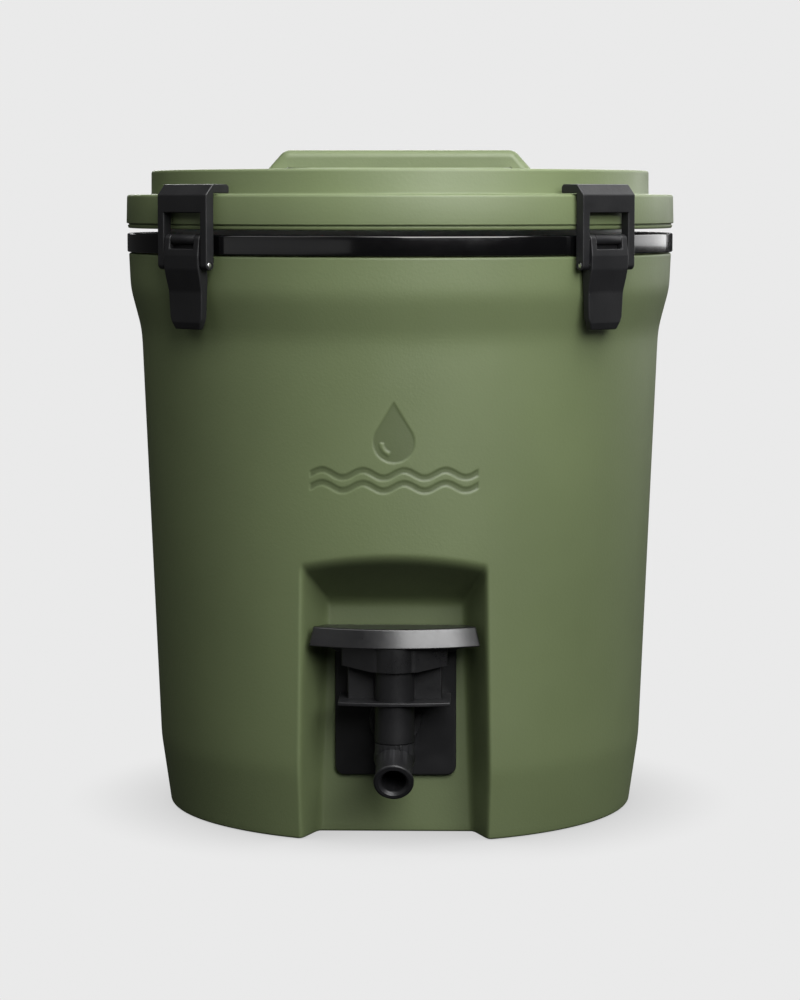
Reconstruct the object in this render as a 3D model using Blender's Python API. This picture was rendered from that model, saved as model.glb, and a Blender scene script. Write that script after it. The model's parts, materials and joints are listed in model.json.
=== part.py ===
"""Insulated water jug with a push tap, a latched lid and a carry handle.

The jug stands on z = 0 with its axis on Z and its tap facing -Y.
Lengths below are in millimetres. They become metres when a mesh is made.
"""

from math import atan2, cos, hypot, pi, radians, sin, tan

import bmesh
import bpy
from mathutils import Matrix, Vector

MM = 0.001
MERGE = 1e-6
GAP = 0.3
STEPS = 56
HIDDEN_STEPS = 40
SMALL_STEPS = 20
FILLET_STEPS = 3

# shell and foam
SHELL_WALL = 3.0
SHELL_TOP = 303.5
FOOT_R = 128.0
BASE_LIFT = 3.0
CAVITY_FLOOR = 6.0
FOAM_GAP = 0.6

# tap recess: a flat back wall, splayed sides that spread downwards and a sloping roof
RECESS_Y = -98.0
RECESS_HALF = 36.2
RECESS_FLARE = 0.035
RECESS_SPLAY = 0.387
RECESS_ROOF = 123.0
ROOF_SLOPE = 0.667
RECESS_REACH = 62.0

# tank
TANK_WALL = 2.5
TANK_FLOOR = 40.0
TANK_MOUTH_R = 101.0
TANK_TOP = 306.5
TANK_FLANGE_R = 138.0
TANK_FRONT_Y = -88.0
TANK_FRONT_TOP = 155.0

# collar band
BAND_R = 149.5
BAND_LOW = 303.9
BAND_HIGH = 314.0

# lid
LID_LOW = 316.8
LEDGE_Z = 334.9
LID_TOP = 347.8
LID_R = 149.9
CROWN_R = 136.2
LID_WALL = 2.8
WELL_X = 59.0
WELL_Y = 46.0
WELL_FLOOR = 327.8
WELL_CORNER = 14.0
RIM_WIDE = 1.6
RIM_TOP = 349.3
PLUG_LOW = 294.0

# carry handle
HANDLE_HALF = 72.5
HANDLE_TOP = 359.0
HANDLE_UNDER = 349.65
HANDLE_FOOT_X = WELL_X + RIM_WIDE + GAP
HANDLE_DEPTH = 34.0
SCREW_X = 66.5
SCREW_R = 2.0
SCREW_TOP = 350.9

# latches
LATCH_ANGLES = {"front_right": 45, "rear_right": 135, "rear_left": -135, "front_left": -45}
PIVOT_R = 152.85
PIVOT_Z = 311.7
BAIL_Z = 298.7
PIN_R = 1.5
PIN_HOLE_R = 1.62
KNUCKLE_R = 2.7
LEVER_HALF = 13.75
SLOT_HALF = 9.5
SLOT_LOW = 307.0
NOTCH_R = 1.8
NOTCH_RISE = 1.1
TONGUE_LOW = 296.3
TONGUE_FRONT_R = 152.5
HOOK_HALF = 19.6
HOOK_INNER_HALF = 14.6
HOOK_TOP = 340.0
HOOK_REACH_R = 139.8
WINDOW_TOP = 325.4
CUT_HALF = 30.0

# tap
TUBE_Y = -125.0
TUBE_R = 10.35
TUBE_LOW = 53.15
TAP_TOP = 96.0
HOUSING_HALF = 24.4
HOUSING_FRONT_Y = -121.5
SHELF_HALF = 29.0
SHELF_LOW = 73.2
SHELF_HIGH = 75.1
SHELF_FRONT_Y = -137.2
SHELF_BOW_R = 125.4
SHELF_SWEEP = 13.37
SHANK_Z = 62.0
SHANK_R = 9.0
SHANK_END_Y = -72.0
SHANK_BORE_R = 5.5
PLATE_HALF = 31.8
PLATE_LOW = 31.0
PLATE_HIGH = 104.0
PLATE_THICK = 3.0
STEM_R = 3.0
SEAT_R = 5.0
BAR_LOW = 103.0
BAR_HIGH = 113.0
BAR_BACK_HIGH = 111.2
BAR_BACK_Y = -103.4
BAR_BOW_R = 90.0
BAR_SWEEP = 29.6
BAR_LOW_Y = -137.6
BAR_HIGH_Y = -135.2
BAR_TOP_SHARE = 0.948
BAR_BACK_SHARE = 0.82
SKIRT_HALF = 27.4
SKIRT_FRONT_Y = -124.2
APRON_HALF = 10.0
APRON_FRONT_Y = -133.2
SKIRT_LOW = 93.0
NOSE_R = 12.7
NOSE_LOW = 90.2
ELBOW_Z = 45.0
BEND_R = 10.8
SPOUT_R = 10.4
SPOUT_BORE_R = 6.25
SPOUT_ANGLE = 23.0
SPOUT_LENGTH = 23.9

# colour, roughness and metallic value of each material
FINISHES = {
    "green_shell": ((0.105, 0.135, 0.050), 0.55, 0.0),
    "black_gloss": ((0.012, 0.012, 0.014), 0.18, 0.0),
    "black_satin": ((0.016, 0.016, 0.018), 0.42, 0.0),
    "liner_white": ((0.78, 0.79, 0.76), 0.40, 0.0),
    "foam": ((0.72, 0.62, 0.36), 0.90, 0.0),
    "rubber": ((0.030, 0.030, 0.032), 0.75, 0.0),
    "steel": ((0.62, 0.62, 0.63), 0.28, 1.0),
}


def clear_scene():
    for old in list(bpy.data.objects):
        bpy.data.objects.remove(old, do_unlink=True)


def make_materials():
    """One Principled material for each finish."""
    made = {}
    for name, (colour, roughness, metallic) in FINISHES.items():
        material = bpy.data.materials.new(name)
        material.use_nodes = True
        shader = material.node_tree.nodes["Principled BSDF"]
        shader.inputs["Base Color"].default_value = (*colour, 1.0)
        shader.inputs["Roughness"].default_value = roughness
        shader.inputs["Metallic"].default_value = metallic
        material.diffuse_color = (*colour, 1.0)
        made[name] = material
    return made


clear_scene()
MATERIALS = make_materials()


# ---------------------------------------------------------------- mesh tools


def add_object(name, bm, finish="foam"):
    """Turn a bmesh into an object, with its faces pointing out."""
    bmesh.ops.remove_doubles(bm, verts=bm.verts, dist=MERGE)
    bmesh.ops.recalc_face_normals(bm, faces=bm.faces)
    mesh = bpy.data.meshes.new(name)
    bm.to_mesh(mesh)
    bm.free()
    mesh.materials.append(MATERIALS[finish])
    obj = bpy.data.objects.new(name, mesh)
    bpy.context.collection.objects.link(obj)
    return soften(obj)


def soften(obj):
    obj.data.shade_smooth()
    obj.data.set_sharp_from_angle(angle=radians(32))
    return obj


def combine(target, tools, operation="DIFFERENCE", solver="EXACT"):
    """Apply Boolean tools to a target in turn, then remove the tools."""
    for tool in tools:
        modifier = target.modifiers.new(tool.name, "BOOLEAN")
        modifier.operation = operation
        modifier.solver = solver
        modifier.object = tool
    depsgraph = bpy.context.evaluated_depsgraph_get()
    mesh = bpy.data.meshes.new_from_object(target.evaluated_get(depsgraph))
    mesh.name = target.name
    target.modifiers.clear()
    target.data = mesh
    for tool in tools:
        bpy.data.objects.remove(tool, do_unlink=True)
    return soften(target)


def rounded(corners):
    """A closed outline whose corners (x, y, radius) are turned into short arcs."""
    outline = []
    for i, (x, y, radius) in enumerate(corners):
        here = Vector((x, y))
        if radius <= 0:
            outline.append((x, y))
            continue
        back = (Vector(corners[i - 1][:2]) - here).normalized()
        ahead = (Vector(corners[(i + 1) % len(corners)][:2]) - here).normalized()
        half = back.angle(ahead) / 2
        start = here + back * (radius / tan(half))
        end = here + ahead * (radius / tan(half))
        centre = here + (back + ahead).normalized() * (radius / sin(half))
        a = atan2(start.y - centre.y, start.x - centre.x)
        turn = (atan2(end.y - centre.y, end.x - centre.x) - a + pi) % (2 * pi) - pi
        for step in range(FILLET_STEPS + 1):
            angle = a + turn * step / FILLET_STEPS
            outline.append((centre.x + radius * cos(angle), centre.y + radius * sin(angle)))
    return outline


def arc(cx, cy, radius, start, end, steps):
    """Points on an arc, with angles in degrees."""
    angles = [radians(start + (end - start) * i / steps) for i in range(steps + 1)]
    return [(cx + radius * cos(a), cy + radius * sin(a)) for a in angles]


def turned(name, profile, finish="foam", steps=STEPS):
    """Spin a profile of (radius, height) about Z. A profile may begin and end on the axis."""
    bm = bmesh.new()
    verts = [bm.verts.new((r * MM, 0, z * MM)) for r, z in profile]
    edges = [bm.edges.new(pair) for pair in zip(verts, verts[1:])]
    if profile[0][0] > 0 or profile[-1][0] > 0:
        edges.append(bm.edges.new((verts[-1], verts[0])))
    bmesh.ops.spin(
        bm,
        geom=verts + edges,
        cent=(0, 0, 0),
        axis=(0, 0, 1),
        dvec=(0, 0, 0),
        angle=2 * pi,
        steps=steps,
        use_merge=True,
        use_duplicate=False,
    )
    return add_object(name, bm, finish)


def extruded(name, outline, low, high, across="XY", finish="foam"):
    """Extrude an outline drawn in one plane along that plane's normal."""
    place = {
        "XY": lambda a, b, c: (a, b, c),
        "XZ": lambda a, b, c: (a, c, b),
        "YZ": lambda a, b, c: (c, a, b),
    }[across]
    bm = bmesh.new()
    ends = []
    for level in (low, high):
        ends.append([bm.verts.new([v * MM for v in place(a, b, level)]) for a, b in outline])
    for ring in ends:
        bm.faces.new(ring)
    count = len(outline)
    for i in range(count):
        j = (i + 1) % count
        bm.faces.new((ends[0][i], ends[0][j], ends[1][j], ends[1][i]))
    return add_object(name, bm, finish)


def rod(name, start, end, radius, finish="foam", steps=SMALL_STEPS):
    """A round bar from one point to another."""
    start, end = Vector(start) * MM, Vector(end) * MM
    along = end - start
    bm = bmesh.new()
    bmesh.ops.create_cone(
        bm,
        cap_ends=True,
        segments=steps,
        radius1=radius * MM,
        radius2=radius * MM,
        depth=along.length,
        matrix=Matrix.Translation((start + end) / 2)
        @ along.to_track_quat("Z", "Y").to_matrix().to_4x4(),
    )
    return add_object(name, bm, finish)


def ball(name, centre, radius, steps=SMALL_STEPS):
    bm = bmesh.new()
    bmesh.ops.create_uvsphere(
        bm,
        u_segments=steps,
        v_segments=steps // 2,
        radius=radius * MM,
        matrix=Matrix.Translation(Vector(centre) * MM),
    )
    return add_object(name, bm)


def block(name, low, high, finish="foam"):
    outline = [(low[0], low[1]), (high[0], low[1]), (high[0], high[1]), (low[0], high[1])]
    return extruded(name, outline, low[2], high[2], "XY", finish)


# ---------------------------------------------------------------- body


def recess_tool(grow):
    """The space of the tap recess, larger by grow than the visible one."""
    bottom = -20.0
    floor_y = RECESS_Y + grow
    far_y = RECESS_Y - RECESS_REACH
    bm = bmesh.new()
    rings = []
    for y in (floor_y, far_y):
        out = RECESS_Y - y
        half = RECESS_HALF + grow * hypot(1, RECESS_SPLAY) + out * RECESS_SPLAY
        roof = RECESS_ROOF + grow * hypot(1, ROOF_SLOPE) + out * ROOF_SLOPE
        low_half = half + RECESS_FLARE * (RECESS_ROOF - bottom)
        high_half = half + RECESS_FLARE * (RECESS_ROOF - roof)
        corners = [(-low_half, bottom), (low_half, bottom), (high_half, roof), (-high_half, roof)]
        rings.append([bm.verts.new((x * MM, y * MM, z * MM)) for x, z in corners])
    for ring in rings:
        bm.faces.new(ring)
    for i in range(4):
        j = (i + 1) % 4
        bm.faces.new((rings[0][i], rings[0][j], rings[1][j], rings[1][i]))
    return add_object("recess_tool", bm)


def shell_profile(inset, low, top):
    """The side of the body from its foot to its rim, set in by inset."""
    side = [
        (FOOT_R, low + 1.5),
        (133.0, 37.0),
        (141.8, 256.0),
        (142.4, 262.5),
        (143.6, 267.5),
        (146.6, 279.0),
        (147.6, 283.0),
        (148.0, 286.5),
        (148.7, top),
    ]
    return [(r - inset, z) for r, z in side]


def shank_hole(radius):
    return rod("shank_hole", (0, -110, SHANK_Z), (0, -60, SHANK_Z), radius)


def make_outer_shell():
    foot = [(0, BASE_LIFT), (84, BASE_LIFT), (87, 0), (FOOT_R - 1.5, 0)]
    side = shell_profile(0, 0, SHELL_TOP)
    shell = turned("outer_shell", foot + side + [(0, SHELL_TOP)], "green_shell")
    inside = [(0, CAVITY_FLOOR), (FOOT_R - SHELL_WALL - 3, CAVITY_FLOOR)]
    inside += shell_profile(SHELL_WALL, CAVITY_FLOOR + 2, SHELL_TOP + 10)
    cavity = turned("cavity", inside + [(0, SHELL_TOP + 10)])
    combine(cavity, [recess_tool(SHELL_WALL)])
    plug_hole = rod("plug_hole", (0, 0, -5), (0, 0, CAVITY_FLOOR + 5), 10.0)
    tools = [recess_tool(0), cavity, shank_hole(SHANK_R + GAP), plug_hole]
    return combine(shell, tools)


def make_base_plug():
    profile = [(0, 1.6), (13.0, 1.6), (13.0, BASE_LIFT - GAP), (9.6, BASE_LIFT - GAP)]
    profile += [(9.2, CAVITY_FLOOR), (0, CAVITY_FLOOR)]
    return turned("base_plug", profile, "black_satin", 24)


def tank_profile(grow, floor, rim):
    """The side of the tank, from the middle of its floor to its rim."""
    return [
        (0, floor - grow),
        (90.0 + grow, floor - grow),
        (95.0 + grow, floor + 2 - grow),
        (96.8 + grow, floor + 7),
        (TANK_MOUTH_R + grow, rim),
    ]


def flat_front(grow, name):
    """Everything in front of the tank's flat front wall, up to a sloping shoulder."""
    y = TANK_FRONT_Y + grow
    top = TANK_FRONT_TOP + grow
    outline = [(y, 20), (y, top), (y - 40, top + 40 * ROOF_SLOPE), (y - 40, 20)]
    return extruded(name, outline, -130, 130, "YZ")


def make_inner_tank():
    outside = tank_profile(TANK_WALL, TANK_FLOOR, SHELL_TOP)
    outside += [(TANK_FLANGE_R, SHELL_TOP), (TANK_FLANGE_R, TANK_TOP), (0, TANK_TOP)]
    tank = turned("inner_tank", outside, "liner_white")
    room = turned("room", tank_profile(0, TANK_FLOOR, TANK_TOP + 5) + [(0, TANK_TOP + 5)])
    combine(room, [flat_front(TANK_WALL, "room_front")])
    tools = [flat_front(0, "tank_front"), room, shank_hole(SHANK_R + GAP)]
    return combine(tank, tools)


def make_foam_core():
    outline = [(0, CAVITY_FLOOR + FOAM_GAP), (FOOT_R - SHELL_WALL - 3.4, CAVITY_FLOOR + FOAM_GAP)]
    outline += shell_profile(SHELL_WALL + FOAM_GAP, CAVITY_FLOOR + 2, SHELL_TOP - GAP)
    foam = turned("foam_core", outline + [(0, SHELL_TOP - GAP)], steps=HIDDEN_STEPS)
    grow = TANK_WALL + FOAM_GAP
    room = turned("tank_room", tank_profile(grow, TANK_FLOOR, 310) + [(0, 310)], steps=HIDDEN_STEPS)
    combine(room, [flat_front(-FOAM_GAP, "foam_front")])
    return combine(foam, [recess_tool(SHELL_WALL + FOAM_GAP), room, shank_hole(SHANK_R + 0.6)])


def make_collar_band():
    inner = TANK_FLANGE_R + FOAM_GAP
    profile = [
        (inner, BAND_LOW),
        (BAND_R - 0.6, BAND_LOW),
        (BAND_R, BAND_LOW + 0.6),
        (BAND_R, BAND_HIGH - 0.7),
        (BAND_R - 0.7, BAND_HIGH),
        (inner, BAND_HIGH),
    ]
    return turned("collar_band", profile, "black_gloss")


# ---------------------------------------------------------------- lid


def well_tool(grow, floor, name, top=LID_TOP + 20):
    """A rounded box for the finger well in the lid."""
    x, y, corner = WELL_X + grow, WELL_Y + grow, WELL_CORNER + grow
    outline = rounded([(-x, -y, corner), (x, -y, corner), (x, y, corner), (-x, y, corner)])
    return extruded(name, outline, floor, top)


def lid_room(inset, low):
    """The hollow inside the lid shell, drawn with a margin of inset."""
    return [
        (0, low),
        (146.3 - inset, low),
        (146.4 - inset, LEDGE_Z - LID_WALL - 0.5 - inset),
        (145.9 - inset, LEDGE_Z - LID_WALL - inset),
        (CROWN_R - LID_WALL - inset, LEDGE_Z - LID_WALL - inset),
        (CROWN_R - LID_WALL - inset, LID_TOP - LID_WALL - inset),
        (0, LID_TOP - LID_WALL - inset),
    ]


def make_lid_shell():
    outline = [
        (0, LID_LOW),
        (147.6, LID_LOW),
        (148.9, LID_LOW + 0.7),
        (149.0, LID_LOW + 1.5),
        (LID_R, LID_LOW + 2.7),
        (LID_R - 0.4, LEDGE_Z - 1.4),
        (LID_R - 1.7, LEDGE_Z),
        (CROWN_R + 0.7, LEDGE_Z),
        (CROWN_R, LEDGE_Z + 0.8),
        (CROWN_R - 0.1, LID_TOP - 1.4),
        (CROWN_R - 1.4, LID_TOP),
        (0, LID_TOP),
    ]
    shell = turned("lid_shell", outline, "green_shell")
    combine(shell, [well_tool(RIM_WIDE, LID_TOP - 1, "well_rim", RIM_TOP)], "UNION")
    room = turned("lid_room", lid_room(0, LID_LOW - 6))
    combine(room, [well_tool(LID_WALL, WELL_FLOOR - LID_WALL, "well_wall")])
    tools = [well_tool(0, WELL_FLOOR, "well"), room]
    for side in (-1, 1):
        x = side * SCREW_X
        tools.append(rod("screw_hole", (x, 0, 340), (x, 0, 352), SCREW_R + 0.4))
    return combine(shell, tools)


def make_lid_liner():
    step = TANK_TOP + 3.1
    outline = [
        (0, PLUG_LOW),
        (95.5, PLUG_LOW),
        (98.0, PLUG_LOW + 2),
        (100.2, step),
        (126.0, step),
        (126.0, LID_LOW + 0.1),
        (145.8, LID_LOW + 0.1),
        (145.8, LID_LOW + 2.6),
        (123.5, LID_LOW + 2.6),
        (123.5, step + 2.5),
        (97.6, step + 2.5),
        (95.6, PLUG_LOW + 2.9),
        (94.6, PLUG_LOW + 2.5),
        (0, PLUG_LOW + 2.5),
    ]
    return turned("lid_liner", outline, "liner_white", HIDDEN_STEPS)


def make_lid_foam():
    step = TANK_TOP + 5.9
    lower = [
        (0, PLUG_LOW + 2.9),
        (94.4, PLUG_LOW + 2.9),
        (95.2, PLUG_LOW + 3.2),
        (97.1, step),
        (123.1, step),
        (123.1, LID_LOW + 3.0),
    ]
    upper = lid_room(FOAM_GAP, LID_LOW + 3.0)[1:]
    foam = turned("lid_foam", lower + upper, steps=HIDDEN_STEPS)
    tools = [well_tool(LID_WALL + FOAM_GAP, WELL_FLOOR - LID_WALL - FOAM_GAP, "well_room")]
    for side in (-1, 1):
        x = side * SCREW_X
        tools.append(rod("head_room", (x, 0, 341), (x, 0, 350), 4.7))
    return combine(foam, tools)


def make_lid_gasket():
    low, high = TANK_TOP + GAP, TANK_TOP + 3.1 - GAP
    middle = (low + high) / 2
    profile = [(110.0, middle), (111.2, low), (119.8, low), (121.0, middle)]
    profile += [(119.8, high), (111.2, high)]
    return turned("lid_gasket", profile, "rubber", HIDDEN_STEPS)


def make_carry_handle():
    foot_z = LID_TOP + GAP
    outline = rounded(
        [
            (-HANDLE_HALF, foot_z, 0),
            (-HANDLE_FOOT_X, foot_z, 0),
            (-HANDLE_FOOT_X, HANDLE_UNDER, 0),
            (HANDLE_FOOT_X, HANDLE_UNDER, 0),
            (HANDLE_FOOT_X, foot_z, 0),
            (HANDLE_HALF, foot_z, 0),
            (62.5, HANDLE_TOP, 4.0),
            (-62.5, HANDLE_TOP, 4.0),
        ]
    )
    half = HANDLE_DEPTH / 2
    handle = extruded("carry_handle", outline, -half, half, "XZ", "green_shell")
    bevel = handle.modifiers.new("edges", "BEVEL")
    bevel.width = 2.2 * MM
    bevel.segments = 2
    bevel.limit_method = "ANGLE"
    bevel.angle_limit = radians(60)
    holes = []
    for side in (-1, 1):
        x = side * SCREW_X
        holes.append(rod("pilot_hole", (x, 0, 340), (x, 0, SCREW_TOP + GAP), SCREW_R + GAP))
    return combine(handle, holes)


def make_handle_screw(name, x):
    """A pan-head screw driven up through the lid shell into a handle foot."""
    under_skin = LID_TOP - LID_WALL - GAP
    profile = [
        (0, under_skin - 3.0),
        (3.6, under_skin - 3.0),
        (4.3, under_skin - 2.0),
        (4.3, under_skin),
        (SCREW_R, under_skin),
        (SCREW_R, SCREW_TOP - 0.6),
        (SCREW_R - 0.8, SCREW_TOP),
        (0, SCREW_TOP),
    ]
    screw = turned(name, profile, "steel", 16)
    screw.location.x = x * MM
    return screw


# ---------------------------------------------------------------- latches


def local(outline, pivot_z):
    """Outline points (radius, height) as (y, z) about a latch pivot, radius towards -Y."""
    return [(PIVOT_R - r, z - pivot_z) for r, z in outline]


def cross_pin(half, radius, name, finish="steel"):
    return rod(name, (-half, 0, 0), (half, 0, 0), radius, finish, 16)


def latch_bracket():
    """Barrel for the hinge pin, on a tongue that cradles the hook's pin from behind."""
    back = BAND_R + GAP
    profile = arc(PIVOT_R, PIVOT_Z, KNUCKLE_R, -90, 90, 8)
    profile += [(back, PIVOT_Z + KNUCKLE_R), (back, TONGUE_LOW)]
    profile += [(TONGUE_FRONT_R, TONGUE_LOW), (TONGUE_FRONT_R, PIVOT_Z - KNUCKLE_R)]
    outline = local(profile, PIVOT_Z)
    bracket = extruded("bracket", outline, GAP - SLOT_HALF, SLOT_HALF - GAP, "YZ", "black_satin")
    pin_z = BAIL_Z - PIVOT_Z
    cradle = rod("cradle", (-CUT_HALF, 0, pin_z), (CUT_HALF, 0, pin_z), PIN_HOLE_R, steps=16)
    return combine(bracket, [cross_pin(CUT_HALF, PIN_HOLE_R, "bore"), cradle])


def latch_lever():
    """Lever with two knuckles, notched behind so that it swings clear of the hook's pin."""
    back = [(149.3, 265.4), (149.3, 292.0), (150.15, 300.0)]
    knuckle = arc(PIVOT_R, PIVOT_Z, KNUCKLE_R, 180, 0, 8)
    front = [
        (156.2, 308.0),
        (156.5, 303.0),
        (156.2, 297.5),
        (154.7, 291.0),
        (153.6, 286.0),
        (153.2, 269.0),
        (152.2, 265.4),
    ]
    outline = local(back + knuckle + front, PIVOT_Z)
    lever = extruded("lever", outline, -LEVER_HALF, LEVER_HALF, "YZ", "black_satin")
    face = [(-14, 6), (14, 6), (14, -16), (13.2, -27), (12.6, -40), (9.6, -46.3)]
    face += [(-9.6, -46.3), (-12.6, -40), (-13.2, -27), (-14, -16)]
    combine(lever, [extruded("face", face, -10, 10, "XZ")], "INTERSECT")
    pin_z = BAIL_Z - PIVOT_Z
    tools = [
        block("slot", (-SLOT_HALF, -10, SLOT_LOW - PIVOT_Z), (SLOT_HALF, 10, 10)),
        cross_pin(CUT_HALF, PIN_HOLE_R, "bore"),
        block("notch", (-CUT_HALF, 0, pin_z - NOTCH_R), (CUT_HALF, 10, pin_z + NOTCH_R + NOTCH_RISE)),
        rod("notch_end", (-CUT_HALF, 0, pin_z), (CUT_HALF, 0, pin_z), NOTCH_R, steps=16),
        block(
            "tongue_room",
            (-SLOT_HALF, -NOTCH_R, TONGUE_LOW - GAP - PIVOT_Z),
            (SLOT_HALF, 10, SLOT_LOW - PIVOT_Z + 1),
        ),
    ]
    return combine(lever, tools)


def latch_hook():
    inner = BAND_R + 0.7
    outer = 2 * PIVOT_R - inner
    outline = [
        (inner, LEDGE_Z + 0.5),
        (HOOK_REACH_R, LEDGE_Z + 0.5),
        (HOOK_REACH_R, HOOK_TOP - 1.2),
        (HOOK_REACH_R + 1.2, HOOK_TOP),
        (150.8, HOOK_TOP),
        (outer, HOOK_TOP - 5.4),
    ]
    outline += arc(PIVOT_R, BAIL_Z, PIVOT_R - inner, 0, -180, 8)
    frame = extruded("hook", local(outline, BAIL_Z), -HOOK_HALF, HOOK_HALF, "YZ", "black_satin")
    window = block("window", (-HOOK_INNER_HALF, -10, -10), (HOOK_INNER_HALF, 10, WINDOW_TOP - BAIL_Z))
    return combine(frame, [window, cross_pin(CUT_HALF, PIN_HOLE_R, "bore")])


def place_latch_piece(pattern, name, angle, pivot_z):
    """A copy of a latch piece with its origin on its own pivot."""
    piece = bpy.data.objects.new(name, pattern.data)
    bpy.context.collection.objects.link(piece)
    turn = radians(angle)
    piece.location = Vector((sin(turn) * PIVOT_R, -cos(turn) * PIVOT_R, pivot_z)) * MM
    piece.rotation_euler.z = turn


def make_latches():
    patterns = {
        "latch_bracket": (latch_bracket(), PIVOT_Z),
        "hinge_pin": (cross_pin(LEVER_HALF - 0.4, PIN_R, "hinge"), PIVOT_Z),
        "latch_lever": (latch_lever(), PIVOT_Z),
        "bail_pin": (cross_pin(HOOK_HALF - 0.2, PIN_R, "bail"), BAIL_Z),
        "latch_hook": (latch_hook(), BAIL_Z),
    }
    for place, angle in LATCH_ANGLES.items():
        for kind, (pattern, pivot_z) in patterns.items():
            place_latch_piece(pattern, f"{kind}_{place}", angle, pivot_z)
    for pattern, _ in patterns.values():
        bpy.data.objects.remove(pattern, do_unlink=True)


# ---------------------------------------------------------------- tap


def make_tap_plate():
    corners = [(-PLATE_HALF, PLATE_LOW, 4.5), (PLATE_HALF, PLATE_LOW, 4.5)]
    corners += [(PLATE_HALF, PLATE_HIGH, 4.5), (-PLATE_HALF, PLATE_HIGH, 4.5)]
    back = RECESS_Y - GAP
    front = back - PLATE_THICK
    plate = extruded("tap_plate", rounded(corners), front, back, "XZ", "black_satin")
    return combine(plate, [shank_hole(SHANK_R + GAP)])


def make_tap_body():
    """Housing, shelf, vertical tube and threaded shank in one moulding, bored for the valve."""
    back = RECESS_Y - PLATE_THICK - 2 * GAP
    body = block(
        "tap_body", (-HOUSING_HALF, HOUSING_FRONT_Y, SHELF_LOW), (HOUSING_HALF, back, TAP_TOP),
        "black_satin",
    )
    centre_y = SHELF_FRONT_Y + SHELF_BOW_R
    shelf_outline = arc(0, centre_y, SHELF_BOW_R, -90 - SHELF_SWEEP, -90 + SHELF_SWEEP, 10)
    shelf_outline += [(SHELF_HALF, back), (-SHELF_HALF, back)]
    added = [
        extruded("shelf", shelf_outline, SHELF_LOW - 0.01, SHELF_HIGH),
        rod("tube", (0, TUBE_Y, TUBE_LOW), (0, TUBE_Y, TAP_TOP - 0.02), TUBE_R, steps=28),
        block("web", (-5.0, TUBE_Y, TUBE_LOW + 1), (5.0, back - 0.01, SHELF_LOW + 1)),
        rod("flange", (0, -112.0, SHANK_Z), (0, back - 0.02, SHANK_Z), 13.5, steps=28),
        rod("shank", (0, TUBE_Y, SHANK_Z), (0, SHANK_END_Y, SHANK_Z), SHANK_R),
    ]
    combine(body, added, "UNION")
    bores = [
        rod("inlet", (0, TUBE_Y, SHANK_Z), (0, SHANK_END_Y + 5, SHANK_Z), SHANK_BORE_R),
        rod("chamber", (0, TUBE_Y, TUBE_LOW + 2.5), (0, TUBE_Y, 78), 7.2),
        rod("seat", (0, TUBE_Y, 45), (0, TUBE_Y, 60), SEAT_R),
        rod("guide", (0, TUBE_Y, 70), (0, TUBE_Y, 90), STEM_R + 0.2),
        rod("spring_pocket", (0, TUBE_Y, 84), (0, TUBE_Y, 110), 7.3),
    ]
    return combine(body, bores)


def make_paddle():
    """Press button: a curved bar on a hollow skirt that slides over the housing."""
    bm = bmesh.new()
    rings = []
    for x, y in arc(0, BAR_BOW_R, BAR_BOW_R, -90 - BAR_SWEEP, -90 + BAR_SWEEP, 16):
        back_x = x * BAR_BACK_SHARE
        section = [(x, y + BAR_LOW_Y, BAR_LOW), (x * BAR_TOP_SHARE, y + BAR_HIGH_Y, BAR_HIGH)]
        section += [(back_x, BAR_BACK_Y, BAR_BACK_HIGH), (back_x, BAR_BACK_Y, BAR_LOW)]
        rings.append([bm.verts.new(Vector(point) * MM) for point in section])
    bm.faces.new(rings[0])
    bm.faces.new(rings[-1])
    for left, right in zip(rings, rings[1:]):
        for i in range(4):
            j = (i + 1) % 4
            bm.faces.new((left[i], left[j], right[j], right[i]))
    paddle = add_object("paddle", bm, "black_satin")
    side = SKIRT_HALF + 1
    front = [(-side, BAR_LOW + 0.5), (-side, SKIRT_LOW), (-12.0, NOSE_LOW + 0.3)]
    front += [(12.0, NOSE_LOW + 0.3), (side, SKIRT_LOW), (side, BAR_LOW + 0.5)]
    back_y = BAR_BACK_Y - 0.2
    plan = [(-SKIRT_HALF, back_y), (-SKIRT_HALF, SKIRT_FRONT_Y), (-APRON_HALF, APRON_FRONT_Y)]
    plan += [(APRON_HALF, APRON_FRONT_Y), (SKIRT_HALF, SKIRT_FRONT_Y), (SKIRT_HALF, back_y)]
    skirt = extruded("skirt", front, -140, -100, "XZ")
    combine(skirt, [extruded("skirt_plan", plan, 80, 110)], "INTERSECT")
    nose = rod("nose", (0, TUBE_Y, NOSE_LOW), (0, TUBE_Y, BAR_LOW + 0.6), NOSE_R, steps=28)
    combine(paddle, [skirt, nose], "UNION")
    inside = BAR_LOW - 1.5
    half, front_y = SKIRT_HALF - 2.3, SKIRT_FRONT_Y + 2.1
    apron_half, apron_y = APRON_HALF - 1.0, APRON_FRONT_Y + 2.3
    room = [(-half, -90), (-half, front_y), (-apron_half, apron_y)]
    room += [(apron_half, apron_y), (half, front_y), (half, -90)]
    hollow = [
        extruded("hollow", room, 80, inside),
        rod("nose_hollow", (0, TUBE_Y, 80), (0, TUBE_Y, inside + 0.01), NOSE_R - 1.7, steps=28),
    ]
    return combine(paddle, hollow)


def make_valve():
    """The stem that hangs from the paddle, and the disc that closes the tube from below."""
    low = TUBE_LOW - 3.55
    stem = turned(
        "valve_stem",
        [(0, low - 1), (2.6, low - 1), (STEM_R, low - 0.4), (STEM_R, 101.2), (0, 101.2)],
        "steel",
        SMALL_STEPS,
    )
    bore = STEM_R + 0.15
    seal = turned(
        "valve_seal",
        [(bore, low), (6, low), (6.4, low + 0.6), (6.4, low + 2.8), (6, low + 3.2), (bore, low + 3.2)],
        "rubber",
        SMALL_STEPS,
    )
    for piece in (stem, seal):
        piece.location.y = TUBE_Y * MM


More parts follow.
